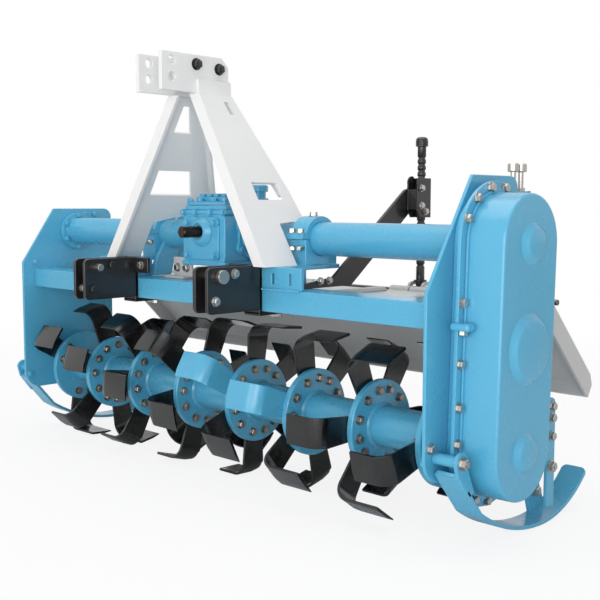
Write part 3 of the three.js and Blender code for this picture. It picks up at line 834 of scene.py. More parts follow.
class Workshop:
    """Turns mesh work into finished pieces that ride on their bodies."""

    def __init__(self, frame: dict, datum: Datum, paint: Paintshop) -> None:
        """Keeps what every sub-assembly needs.

        Args:
            datum: where the machine stands.
            paint: the finishes.
        """
        self.frame = frame
        self.datum = datum
        self.paint = paint

    @staticmethod
    def _object(name: str, bm: bmesh.types.BMesh) -> bpy.types.Object:
        """Links mesh work into the scene as a new object.

        Args:
            name: the object's name.
            bm: the mesh work; it is used up.

        Returns:
            The object.
        """
        mesh = bpy.data.meshes.new(name)
        bm.to_mesh(mesh)
        bm.free()
        made = bpy.data.objects.new(name, mesh)
        bpy.context.scene.collection.objects.link(made)
        return made

    def _points(self, name: str, attribute: str, places: Sequence[Place]) -> bpy.types.Object:
        """Links an object that holds points, each with one vector attribute.

        Args:
            name: the object's name.
            attribute: the attribute's name.
            places: each point, in millimetres, and its vector.

        Returns:
            The object.
        """
        mesh = bpy.data.meshes.new(name + "_points")
        mesh.from_pydata([self.datum.point(*place) for place, _ in places], [], [])
        layer = mesh.attributes.new(attribute, "FLOAT_VECTOR", "POINT")
        for item, (_, vector) in zip(layer.data, places):
            item.vector = vector
        made = bpy.data.objects.new(name, mesh)
        bpy.context.scene.collection.objects.link(made)
        return made

    def piece(self, name: str, bm: bmesh.types.BMesh, finish: Finish, body: Body, replaces: Sequence[str] = (),
              edge: float = 1.5, smooth: float = 40.0) -> bpy.types.Object:
        """Finishes a mesh drawn in millimetres as a piece.

        Args:
            name: the piece's name.
            bm: the mesh; it is used up.
            finish: its finish.
            body: the body it rides on.
            replaces: the CAD nodes it stands for.
            edge: the radius that rounds its sharp edges, in millimetres; 0 for none.
            smooth: edges flatter than this many degrees are shaded smooth and not rounded.

        Returns:
            The finished object.
        """
        bmesh.ops.remove_doubles(bm, verts=bm.verts, dist=0.01)
        bmesh.ops.recalc_face_normals(bm, faces=bm.faces)
        bm.transform(self.datum.matrix())
        return self._finish(self._object(name, bm), finish, body, replaces, edge, smooth)

    def rounded_copy(self, node: str, finish: Finish, edge: float = 1.5, smooth: float = 28.0) -> bpy.types.Object:
        """A copy of a CAD node with welded seams and rounded edges, which stands for that node.

        Args:
            node: the CAD node.
            finish: the copy's finish.
            edge: the radius that rounds its sharp edges, in millimetres.
            smooth: edges flatter than this many degrees are shaded smooth.

        Returns:
            The finished object.
        """
        source = self.frame["nodes"][node]
        bm = bmesh.new()
        bm.from_mesh(source.data)
        bmesh.ops.remove_doubles(bm, verts=bm.verts, dist=0.00002)
        bmesh.ops.dissolve_limit(bm, angle_limit=math.radians(0.6), verts=bm.verts, edges=bm.edges)
        body = Body(source["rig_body"])
        return self._finish(self._object(node + "_rounded", bm), finish, body, (node,), edge, smooth)

    def _finish(self, made: bpy.types.Object, finish: Finish, body: Body, replaces: Sequence[str], edge: float,
                smooth: float) -> bpy.types.Object:
        """Rounds, shades, paints and mounts a piece.

        Args:
            made: the piece.
            finish: its finish.
            body: the body it rides on.
            replaces: the CAD nodes it stands for.
            edge: the radius that rounds its sharp edges, in millimetres; 0 for none.
            smooth: edges flatter than this many degrees are shaded smooth and not rounded.

        Returns:
            The same object.
        """
        mesh = made.data
        mesh.materials.clear()
        mesh.materials.append(self.paint.of(finish))
        for polygon in mesh.polygons:
            polygon.material_index = 0
        mesh.shade_smooth()
        mesh.set_sharp_from_angle(angle=math.radians(smooth))
        if edge > 0:
            bevel = made.modifiers.new("Rounded edges", "BEVEL")
            bevel.width = edge * MM
            bevel.segments = 2
            bevel.limit_method = "ANGLE"
            bevel.angle_limit = math.radians(smooth)
            bevel.use_clamp_overlap = True
            bevel.harden_normals = True
        self.mount(made, finish, body, replaces)
        return made

    @staticmethod
    def mount(made: bpy.types.Object, finish: Finish, body: Body, replaces: Sequence[str] = ()) -> None:
        """Puts a finished object on its body.

        Args:
            made: the object.
            finish: its finish; not used.
            body: the body.
            replaces: the CAD nodes it stands for.
        """
        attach(made, body.value)
        if replaces:
            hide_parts(*replaces)
        log.info("%s: %d faces on %s", made.name, len(made.data.polygons), body.value)

    def dress(self, node: str, finish: Finish) -> None:
        """Gives a CAD node that stays as it is its finish.

        Args:
            node: the CAD node.
            finish: the finish.
        """
        kept = self.frame["nodes"][node]
        if not kept.material_slots:
            kept.data.materials.append(self.paint.of(finish))
        for slot in kept.material_slots:
            slot.material = self.paint.of(finish)
        log.info("%s: dressed", node)

    @staticmethod
    def _realised(made: bpy.types.Object, tree: bpy.types.NodeTree, values: dict[str, bpy.types.ID]) -> None:
        """Runs a Geometry Nodes tree on an object and keeps its result as a plain mesh.

        Args:
            made: the object that holds the points.
            tree: the tree.
            values: the tree's inputs by name.
        """
        modifier = made.modifiers.new("Pattern", "NODES")
        modifier.node_group = tree
        for item in tree.interface.items_tree:
            if item.item_type == "SOCKET" and item.in_out == "INPUT" and item.name in values:
                modifier[item.identifier] = values[item.name]
        depsgraph = bpy.context.evaluated_depsgraph_get()
        made.data = bpy.data.meshes.new_from_object(made.evaluated_get(depsgraph), depsgraph=depsgraph)
        made.modifiers.clear()
        made.data.name = made.name

    def stamped(self, name: str, bm: bmesh.types.BMesh, places: Sequence[Place], finish: Finish, body: Body,
                edge: float = 1.2, smooth: float = 30.0) -> bpy.types.Object:
        """Sets a modelled part at many places.

        Args:
            name: the piece's name.
            bm: the part, in millimetres about its own zero; it is used up.
            places: each place in millimetres and its turns in radians.
            finish: the finish.
            body: the body that it rides on.
            edge: the radius of its edges.
            smooth: edges flatter than this are shaded smooth.

        Returns:
            One plain mesh with all of them.
        """
        bmesh.ops.recalc_face_normals(bm, faces=bm.faces)
        bm.transform(Matrix.Scale(MM, 4))
        part = self._object(name + "_part", bm)
        made = self._points(name, "angles", places)
        self._realised(made, STAMP.tree(), {"Part": part, "Finish": self.paint.of(finish)})
        bpy.data.objects.remove(part)
        return self._finish(made, finish, body, (), edge, smooth)

    def bolts(self, name: str, fastener: Fastener, places: Sequence[Place], body: Body,
              finish: Finish = ZINC) -> bpy.types.Object:
        """Sets fasteners at places, each a point and the direction it faces, in millimetres.

        Args:
            name: the piece's name.
            fastener: the kind of bolt.
            places: the points and directions.
            body: the body they ride on.
            finish: their finish.

        Returns:
            One plain mesh with all of them.
        """
        made = self._points(name, "outwards", places)
        self._realised(made, fastener.tree(), {"Finish": self.paint.of(finish)})
        self.mount(made, finish, body)
        return made


STAMP = Stamp("Repeated part")
BOLT_M12 = Fastener("Hexagon bolts M12", head=11.0, height=8.0, washer=13.5)
BOLT_M10 = Fastener("Hexagon bolts M10", head=9.2, height=6.5, washer=11.0)
NUT_M12 = Fastener("Hexagon nuts M12", head=10.6, height=7.0, washer=12.5, stud=4.0)
BOLT_M16 = Fastener("Hexagon bolts M16", head=14.0, height=10.5, washer=17.0, stud=4.0)


# ------------------------------------------------------------------ frame


@dataclass
class MainFrame:
    """Side plates, box beam, cross tubes and the rotor's bearings."""

    flange_face: float = 16.3
    flange_circle: float = 57.0
    bearing_circle: float = 72.0
    left_bolts: tuple[Pair, ...] = ((-158, 383), (-190, -17), (50, 552), (100, 552))
    right_bolts: tuple[Pair, ...] = ((-185, 20), (196, 60))
    left_nuts: tuple[Pair, ...] = ((-159, 383), (-190, -17), (50, 552), (94, 552))
    right_nuts: tuple[Pair, ...] = ((-150, 400), (-190, -17), (60, 630))
    beam_faces: Pair = (-159.0, -59.0)
    beam_bottom: float = 300.0
    bead: Pair = (6.4, 7.0)
    screws: tuple[Pair, ...] = ((878.0, 190.0), (878.0, 226.0))

    def build(self, shop: Workshop) -> None:
        """Makes the frame's pieces.

        Args:
            shop: the workshop.
        """
        for node in ("left_side_plate", "right_side_plate"):
            shop.rounded_copy(node, BLUE_PAINT, edge=2.5)
        shop.rounded_copy("main_beam", BLUE_PAINT, edge=6.0)
        for node in ("cross_tube_left", "cross_tube_right", "rotor_bearing_left", "rotor_bearing_right"):
            shop.rounded_copy(node, BLUE_PAINT, edge=2.0)
        self._welds(shop)
        self._hardware(shop)
        self._adjusters(shop)

    def _welds(self, shop: Workshop) -> None:
        """Weld beads where the beam meets the side plates.

        Args:
            shop: the workshop.
        """
        bm = bmesh.new()
        length, step = self.bead
        front, rear = self.beam_faces
        for inner, side in zip(PLATE_INNER, (1, -1)):
            depth = span(side, 0.0, step, inner)
            for y in self.beam_faces:
                for z in range(int(self.beam_bottom), int(BEAM_TOP) - 2, int(step)):
                    block(bm, depth, (y - 4, y + 4), (z, z + length))
            for y in range(int(front) + 3, int(rear) - 3, int(step)):
                block(bm, depth, (y, y + length), (BEAM_TOP - 3, BEAM_TOP + 4))
        shop.piece("beam_weld_beads", bm, BLUE_PAINT, Body.FRAME, edge=2.4, smooth=50)

    def _hardware(self, shop: Workshop) -> None:
        """Bolts of the side plates, the tube flanges and the bearings.

        Args:
            shop: the workshop.
        """
        left, right = PLATE_INNER
        flange = around(CROSS_TUBE, self.flange_circle, range(30, 390, 60))
        shop.bolts("tube_flange_bolts", BOLT_M10,
                   facing(flange, left + self.flange_face, 1.0) + facing(flange, right - self.flange_face, -1.0),
                   Body.FRAME, BLUE_PAINT)
        bearing = around((0.0, 0.0), self.bearing_circle, range(0, 360, 60))
        shop.bolts("side_plate_bolts", BOLT_M12,
                   facing([*self.left_bolts, *bearing, *flange], left - PLATE_THICKNESS, -1.0)
                   + facing(self.right_bolts, right + PLATE_THICKNESS, 1.0), Body.FRAME)
        shop.bolts("side_plate_nuts", BOLT_M10,
                   facing(self.left_nuts, left, 1.0) + facing(self.right_nuts, right, -1.0), Body.FRAME, BLUE_PAINT)

    def _adjusters(self, shop: Workshop) -> None:
        """The two upright screws behind the right plate's top, with their bracket.

        Args:
            shop: the workshop.
        """
        bm = bmesh.new()
        stem = [(596, 0), (596, 7), (676, 7), (676, 0)]
        head = [(672, 0), (672, 13), (674, 15), (691, 15), (694, 12), (694, 0)]
        nut = [(622, 0), (622, 13), (632, 13), (632, 0)]
        for x, y in self.screws:
            for profile, sides in ((stem, 20), (head, 14), (nut, 6)):
                turned(bm, Axis.Z, (x, y, 0), profile, sides)
        shop.piece("chain_adjuster_screws", bm, ZINC, Body.FRAME, edge=0.8)
        bm = bmesh.new()
        plate = PLATE_INNER[1] - SEAM
        block(bm, (860, plate), (140, 244), (606, 621))
        block(bm, (884, plate), (120, 244), (560, 621))
        shop.piece("chain_adjuster_bracket", bm, BLUE_PAINT, Body.FRAME, edge=2.5)


# ------------------------------------------------------------------ gearbox


@dataclass
class Gearbox:
    """The centre gearbox casting with its covers and splined shaft."""

    half: float = 105.0
    front: float = -110.0
    rear: float = 100.0
    bottom: float = 405.0
    joint: float = 564.5
    top: float = 585.0
    shaft_z: float = 507.0
    shaft_radius: float = 17.5
    teeth: int = 6
    corner_bolts_z: Pair = (437.0, 534.0)
    lid_bolts_x: tuple[float, ...] = (-78.0, -30.0, 30.0, 78.0)
    joint_bolts_x: tuple[float, ...] = (-90.0, -34.0, 34.0, 90.0)
    cover_circle: float = 73.0
    lobe: Triple = (70.0, 14.0, 0.35)

    def build(self, shop: Workshop) -> None:
        """Makes the casting, its covers, bolts and shaft.

        Args:
            shop: the workshop.
        """
        self._body(shop)
        self._lid(shop)
        self._side_covers(shop)
        self._bolts(shop)
        self._fittings(shop)
        self._shaft(shop)

    @staticmethod
    def _barrel(half: float, low: float, high: float, lower_cut: Pair, upper_cut: Pair) -> list[Pair]:
        """The outline of a block with cut corners, as X and Z.

        Args:
            half: half its width.
            low: its bottom.
            high: its top.
            lower_cut: width and height of the cut at its lower corners.
            upper_cut: width and height of the cut at its upper corners.

        Returns:
            The outline's eight corners.
        """
        right = [(half - lower_cut[0], low), (half, low + lower_cut[1]),
                 (half, high - upper_cut[1]), (half - upper_cut[0], high)]
        return right + [(-x, z) for x, z in reversed(right)]

    def _body(self, shop: Workshop) -> None:
        """The cast body: a waisted block with a joint flange, feet and corner lugs.

        Args:
            shop: the workshop.
        """
        bm = bmesh.new()
        prism(bm, Axis.Y, self._barrel(96, self.bottom, 560, (8, 30), (6, 14)), self.front + 6, self.rear - 6)
        prism(bm, Axis.Y, self._barrel(74, self.bottom + 18, 552, (8, 12), (12, 12)), self.front, self.front + 12)
        block(bm, (-102, 102), (self.front + 4, self.rear - 2), (558, 571))
        block(bm, (-94, 94), (self.front + 12, self.rear - 10), (570, self.top))
        for x in (-84.0, 84.0):
            block(bm, (x - 15, x + 15), (self.front + 2, self.rear - 2), (self.bottom, self.bottom + 14))
            for z in self.corner_bolts_z:
                turned(bm, Axis.Y, (x * 0.74, self.front, z), [(-5, 0), (-5, 13), (8, 15), (8, 0)], 20)
        for x in (-40.0, 0.0, 40.0):
            block(bm, (x - 4, x + 4), (self.rear - 8, self.rear + 2), (self.bottom + 20, 548))
        shop.piece("gearbox_casting", bm, CAST_BLUE, Body.FRAME, ("gearbox_housing",), edge=5.0, smooth=32)

    def _lid(self, shop: Workshop) -> None:
        """The stepped and ribbed lid, and the cone round the shaft.

        Args:
            shop: the workshop.
        """
        bm = bmesh.new()
        block(bm, (-88, 88), (self.front + 14, self.rear - 14), (self.top + SEAM, self.top + 12))
        block(bm, (-66, 66), (self.front + 34, self.rear - 34), (self.top + 11, self.top + 26))
        ribs = (self.top + 25, self.top + 35.5)
        for x in (-48.0, -16.0, 16.0, 48.0):
            block(bm, (x - 9, x + 9), (self.front + 40, self.rear - 40), ribs)
        block(bm, (-60, 60), (-12, 2), ribs)
        shop.piece("gearbox_lid", bm, CAST_BLUE, Body.FRAME, ("gearbox_cover",), edge=3.2, smooth=32)
        bm = bmesh.new()
        bore = self.shaft_radius + 0.7
        turned(bm, Axis.Y, (0, self.front, self.shaft_z),
               [(-SEAM, bore), (-SEAM, 46), (-4, 44), (-8, 39), (-16, 33), (-18, 30), (-18, 25), (-14, 23),
                (-14, bore)], 56)
        shop.piece("gearbox_shaft_cone", bm, CAST_BLUE, Body.FRAME, ("gearbox_bearing_cap",), edge=1.6)

    def _side_covers(self, shop: Workshop) -> None:
        """A lobed cover round the cross tube on each side.

        Args:
            shop: the workshop.
        """
        bm = bmesh.new()
        y, z = CROSS_TUBE
        base, swell, flat = self.lobe
        outline = []
        steps = 120
        for step in range(steps):
            turn = 2 * math.pi * step / steps
            radius = base + swell * max(0.0, math.cos(3 * turn + math.pi / 2) ** 2 - flat) / (1 - flat)
            outline.append((y + radius * math.cos(turn), z + radius * math.sin(turn)))
        for side in (-1, 1):
            prism(bm, Axis.X, outline, *span(side, 95.0, self.half + 1))
            turned(bm, Axis.X, (side * (self.half + 0.6), y, z),
                   [(0, 47.4), (0, 60), (side * 10, 56), (side * 16, 52), (side * 16, 47.4)], 56)
        shop.piece("gearbox_side_covers", bm, CAST_BLUE, Body.FRAME, edge=2.2, smooth=35)

    def _bolts(self, shop: Workshop) -> None:
        """Painted bolts all over the casting.

        Args:
            shop: the workshop.
        """
        spots = [((x, self.front - 5, z), (0, -1, 0)) for x in (-62.0, 62.0) for z in self.corner_bolts_z]
        spots += [((x, y, self.top + 12), (0, 0, 1)) for x in self.lid_bolts_x
                  for y in (self.front + 22, self.rear - 22)]
        spots += [((x, self.front + 5, self.joint), (0, -1, 0)) for x in self.joint_bolts_x]
        for side in (-1, 1):
            spots += facing(around(CROSS_TUBE, self.cover_circle, range(30, 390, 60)), side * (self.half + 1), side)
        shop.bolts("gearbox_bolts", BOLT_M10, spots, Body.FRAME, CAST_BLUE)

    def _fittings(self, shop: Workshop) -> None:
        """The breather and the filler neck on the lid.

        Args:
            shop: the workshop.
        """
        bm = bmesh.new()
        turned(bm, Axis.Z, (-78, 60, self.top + 11), [(0, 0), (0, 11), (4, 11), (5, 8), (12, 8), (15, 5), (15, 0)], 20)
        shop.piece("gearbox_breather", bm, ZINC, Body.FRAME, edge=0.6)
        bm = bmesh.new()
        turned(bm, Axis.Z, (80, 42, self.top - 14),
               [(0, 0), (0, 34), (28, 34), (32, 26), (54, 26), (56, 33), (72, 33), (76, 29), (76, 0)], 32)
        shop.piece("gearbox_filler", bm, CAST_BLUE, Body.FRAME, edge=0.8, smooth=40)

    def _shaft(self, shop: Workshop) -> None:
        """The splined input shaft with its locking groove.

        Args:
            shop: the workshop.
        """
        sections = [(-190, 0.82), (-187, 1.0), (-166, 1.0), (-165, 0.8), (-158, 0.8), (-157, 1.0), (-132, 1.0),
                    (-130, 0.84), (-110.5, 0.84)]
        tooth_form = ((-0.24, 0.8), (-0.2, 1.0), (0.0, 1.0), (0.2, 1.0), (0.24, 0.8), (0.38, 0.8))
        rows = []
        for along, share in sections:
            row = []
            for tooth in range(self.teeth):
                for turn, level in tooth_form:
                    angle = 2 * math.pi * (tooth + turn) / self.teeth
                    radius = self.shaft_radius * min(level, share)
                    row.append(Vector((radius * math.cos(angle), along, self.shaft_z + radius * math.sin(angle))))
            rows.append(row)
        bm = bmesh.new()
        strip(bm, rows)
        shop.piece("input_shaft_splined", bm, BROWN_STEEL, Body.INPUT, ("input_shaft",), edge=0.6)


# ------------------------------------------------------------------ side drive


@dataclass
class SideDrive:
    """The side gear case with its bolted flange and raised bosses."""

    radius: float = 120.0
    draft: float = 2.5
    bolt_circle: float = 133.5
    top: Pair = (16.0, 498.0)
    rim_face: float = 943.3
    face: float = 1042.6
    boss: float = 15.0
    boss_radii: Triple = (47.0, 82.0, 47.0)
    side_bolts_z: tuple[float, ...] = (28.0, 115.0, 217.0, 361.0)
    filler: Pair = (-129.0, 296.0)

    def _stadium(self, radius: float, steps: int = 28) -> list[Pair]:
        """The rounded outline round the two shafts."""
        lean = math.degrees(math.atan2(*self.top))
        return arc(self.top, radius, -lean, 180 - lean, steps) + arc((0, 0), radius, 180 - lean, 360 - lean, steps)

    def build(self, shop: Workshop) -> None:
        """Makes the flange, the case, its bosses and bolts.

        Args:
            shop: the workshop.
        """
        shop.rounded_copy("gear_case_rim", BLUE_PAINT, edge=2.0)
        start = self.rim_face + SEAM
        bm = bmesh.new()
        strip(bm, [[Vector((x, y, z)) for y, z in self._stadium(radius)]
                   for x, radius in ((start, self.radius), (start + 8, self.radius),
                                     (self.face, self.radius - self.draft))])
        shop.piece("gear_case_cover", bm, BLUE_PAINT, Body.FRAME, ("gear_case",), edge=7.0, smooth=34)
        self._bosses(shop)
        bm = bmesh.new()
        prism(bm, Axis.X, self._stadium(self.radius + 7), start, start + 6)
        shop.piece("gear_case_lip", bm, BLUE_PAINT, Body.FRAME, edge=1.8)
        self._flange_bolts(shop)
        self._filler(shop)
        shop.dress("gear_train", BARE_STEEL)

    def _bosses(self, shop: Workshop) -> None:
        """The three raised bosses over the shafts and the middle gear.

        Args:
            shop: the workshop.
        """
        bm = bmesh.new()
        middle = (self.top[0] / 2, self.top[1] / 2)
        for centre, wide in zip((self.top, middle, (0.0, 0.0)), self.boss_radii):
            turned(bm, Axis.X, (self.face, *centre),
                   [(-4, 0), (-4, wide + 3), (0, wide + 3), (1.5, wide), (self.boss - 3, wide - 9),
                    (self.boss - 0.8, wide - 11.5), (self.boss, wide - 15), (self.boss, 0)], 72)
        shop.piece("gear_case_bosses", bm, BLUE_PAINT, Body.FRAME, edge=0.0, smooth=30)

    def _flange_bolts(self, shop: Workshop) -> None:
        """Bolts all round the flange: over the top, under the rotor's shaft and up both sides.

        Args:
            shop: the workshop.
        """
        lean = math.atan2(*self.top)
        spots = around(self.top, self.bolt_circle, range(0, 181, 26), lean)
        spots += around((0.0, 0.0), self.bolt_circle, range(198, 360, 24), lean)
        for z in self.side_bolts_z:
            middle = self.top[0] * z / self.top[1]
            spots.append((middle - self.bolt_circle, z))
            spots.append((middle * 0.4 + self.bolt_circle - 6, z * 0.9))
        shop.bolts("gear_case_bolts", BOLT_M12, facing(spots, self.rim_face, 1), Body.FRAME)

    def _filler(self, shop: Workshop) -> None:
        """The small rounded filler lug on the flange with its plug.

        Args:
            shop: the workshop.
        """
        y, z = self.filler
        bm = bmesh.new()
        block(bm, (self.rim_face - 20, self.rim_face + 34), (y - 17, y + 17), (z, z + 20))
        shop.piece("filler_lug", bm, BLUE_PAINT, Body.FRAME, edge=8.0)
        shop.bolts("filler_plug", BOLT_M12, [((self.rim_face + 10, y, z), (0, -0.25, -1))], Body.FRAME)


# ------------------------------------------------------------------ mast


@dataclass
class Mast:
    """The white A-frame with its top-link clevis."""

    inner: float = 45.0
    thickness: float = 14.0
    foot: Pair = (-172.0, -58.0)
    weld: Pair = (938.0, 946.0)
    bead: Pair = (7.4, 8.0)
    bolts: tuple[Pair, ...] = ((-175.5, 985.0), (-90.5, 978.0))

    def build(self, shop: Workshop) -> None:
        """Makes the legs, the clevis, its bolts, spacers and welds.

        Args:
            shop: the workshop.
        """
        for side in ("left", "right"):
            shop.rounded_copy(f"mast_leg_{side}", WHITE_PAINT, edge=2.0)
            shop.rounded_copy(f"mast_clevis_{side}", WHITE_PAINT, edge=3.0)
        shop.rounded_copy("mast_tie", WHITE_PAINT, edge=2.5)
        outer = self.inner + self.thickness
        shop.bolts("clevis_bolts", BOLT_M16, facing(self.bolts, -outer, -1) + facing(self.bolts, outer, 1),
                   Body.FRAME, BLACK_PAINT)
        spacers, beads = bmesh.new(), bmesh.new()
        reach = self.inner - SEAM
        for y, z in self.bolts:
            turned(spacers, Axis.X, (0, y, z), [(-reach, 0), (-reach, 15), (reach, 15), (reach, 0)], 28)
        shop.piece("clevis_spacers", spacers, WHITE_PAINT, Body.FRAME, edge=1.0)
        length, step = self.bead
        for side in (-1, 1):
            for y in range(int(self.foot[0]), int(self.foot[1]), int(step)):
                block(beads, span(side, outer, outer + 5), (y, y + length), self.weld)
        shop.piece("mast_weld_beads", beads, WHITE_PAINT, Body.FRAME, edge=2.5, smooth=50)


# ------------------------------------------------------------------ saddles


@dataclass
class Saddles:
    """The brackets on the beam that carry the mast's feet and clamp the cross tubes."""

    clamp: float = 341.0
    crown: float = 63.5
    ear: float = 71.0
    ear_faces: Pair = (18.0, -20.0)
    foot_bolts_x: Pair = (330.0, 352.0)
    foot_bolts: Pair = (-57.0, 385.0)
    bead: Pair = (7.4, 8.0)
    bead_run: Pair = (312.0, 456.0)
    web: tuple[Pair, ...] = ((-70, 359.5), (-62, 402), (-36, 447), (-12, 490), (8, 524), (35, 548), (66, 552),
                             (88, 540), (84, 512), (60, 470), (38, 438), (16, 406), (4, 359.5))
    web_x: Pair = (288.0, 306.0)
    foot_plate: Pair = (-194.0, -103.0)

    def build(self, shop: Workshop) -> None:
        """Makes both sides and the gearbox's foot plate.

        Args:
            shop: the workshop.
        """
        spots, beads = [], bmesh.new()
        for side, name in ((-1, "left"), (1, "right")):
            shop.rounded_copy(f"tube_saddle_{name}", BLUE_PAINT, edge=2.5)
            shop.rounded_copy(f"tube_cap_{name}", BLUE_PAINT, edge=2.5)
            bm = bmesh.new()
            prism(bm, Axis.X, self.web, *span(side, *self.web_x))
            shop.piece(f"tube_gusset_{name}", bm, BLUE_PAINT, Body.FRAME, edge=4.0, smooth=36)
            spots += self._clamp_bolts(side)
            length, step = self.bead
            for x in range(int(self.bead_run[0]), int(self.bead_run[1]), int(step)):
                block(beads, span(side, x, x + length), (-166, -158), (BEAM_TOP - 4, BEAM_TOP + 3))
        shop.bolts("clamp_bolts", BOLT_M12, spots, Body.FRAME)
        shop.piece("saddle_weld_beads", beads, BLUE_PAINT, Body.FRAME, edge=2.5, smooth=50)
        bm = bmesh.new()
        base = BEAM_TOP + 0.4
        block(bm, self.foot_plate, (-64, -57), (base, 424))
        block(bm, self.foot_plate, (-100, -57), (base, BEAM_TOP + 7))
        shop.piece("gearbox_foot_plate", bm, GREY_PAINT, Body.FRAME, edge=2.0)
        shop.bolts("foot_plate_bolts", BOLT_M12, [((x, -64, 391), (0, -1, 0)) for x in (-128.0, -172.0)], Body.FRAME)

    def _clamp_bolts(self, side: int) -> list[Place]:
        """Bolts of one clamp: on its crown, through its ears and in the saddle's foot.

        Args:
            side: 1 for the right, -1 for the left.

        Returns:
            Their places.
        """
        middle = side * self.clamp
        y, z = CROSS_TUBE
        spots = [((middle, y, z + self.crown), (0, 0, 1))]
        for ear in (-1, 1):
            for x in (middle - 16, middle + 16):
                spots += [((x, y + ear * self.ear, z + face), (0, 0, math.copysign(1, face)))
                          for face in self.ear_faces]
        return spots + [((side * x, *self.foot_bolts), (0, 1, 0)) for x in self.foot_bolts_x]


# ------------------------------------------------------------------ hitch brackets


@dataclass
class HitchBrackets:
    """Black lower-link brackets with two cheeks each."""

    cheeks: Pair = (251.0, 313.0)
    thickness: float = 12.0
    front: float = -356.0
    back: float = -159.3
    top: float = 424.0
    bottom: float = 300.0
    corner: float = 16.0
    tab: Pair = (187.0, 376.0)
    tab_bolt: Pair = (219.0, 400.0)
    beam: Pair = (295.6, -59.0)
    beam_bolts_x: Pair = (270.0, 294.0)
    cheek_bolts: tuple[Pair, ...] = ((-262, 404), (-330, 334))

    def build(self, shop: Workshop) -> None:
        """Makes both brackets, their pins and bolts.

        Args:
            shop: the workshop.
        """
        near, far = self.cheeks
        inner = far - self.thickness
        spots: list[Place] = []
        heads: dict[int, list[Place]] = {}
        for side, name in ((-1, "left"), (1, "right")):
            self._bracket(shop, side, name)
            shop.rounded_copy(f"hitch_pin_{name}", ZINC, edge=1.5)
            heads[side] = (facing(self.cheek_bolts, side * far, side) + facing(self.cheek_bolts, side * near, -side))
            spots += facing(self.cheek_bolts, side * inner, -side)
            spots.append(((side * self.tab_bolt[0], self.back - self.thickness, self.tab_bolt[1]), (0, -1, 0)))
            spots += [((side * x, -80, self.beam[0] - SEAM - self.thickness), (0, 0, -1)) for x in self.beam_bolts_x]
        shop.bolts("hitch_bolts", BOLT_M12, spots + heads[1], Body.FRAME)
        shop.bolts("hitch_bolts_black", BOLT_M12, heads[-1], Body.FRAME, BLACK_PAINT)

    def _bracket(self, shop: Workshop, side: int, name: str) -> None:
        """One bracket: two cheeks, a back plate, a foot under the beam and a tab.

        Args:
            shop: the workshop.
            side: 1 for the right, -1 for the left.
            name: the side's name.
        """
        bm = bmesh.new()
        near, far = self.cheeks
        for x0, x1 in ((near, near + self.thickness), (far - self.thickness, far)):
            prism(bm, Axis.X, self._cheek(), *span(side, x0, x1))
        plate = (self.back - self.thickness, self.back)
        foot = self.beam[0] - SEAM
        block(bm, span(side, near, far), plate, (self.bottom - 14, self.top))
        block(bm, span(side, near, far), (plate[0], self.beam[1]), (foot - self.thickness, foot))
        block(bm, span(side, self.tab[0], near + 1), plate, (self.tab[1], self.top))
        shop.piece(f"hitch_bracket_{name}_welded", bm, BLACK_PAINT, Body.FRAME, (f"hitch_bracket_{name}",),
                   edge=2.5, smooth=34)

    def _cheek(self) -> list[Pair]:
        """A cheek's outline with rounded front corners."""
        r = self.corner
        return ([(self.back - 1, self.bottom), (self.back - 1, self.top)]
                + arc((self.front + r, self.top - r), r, 90, 180, 6)
                + arc((self.front + r, self.bottom + r), r, 180, 270, 6))


# ------------------------------------------------------------------ rotor


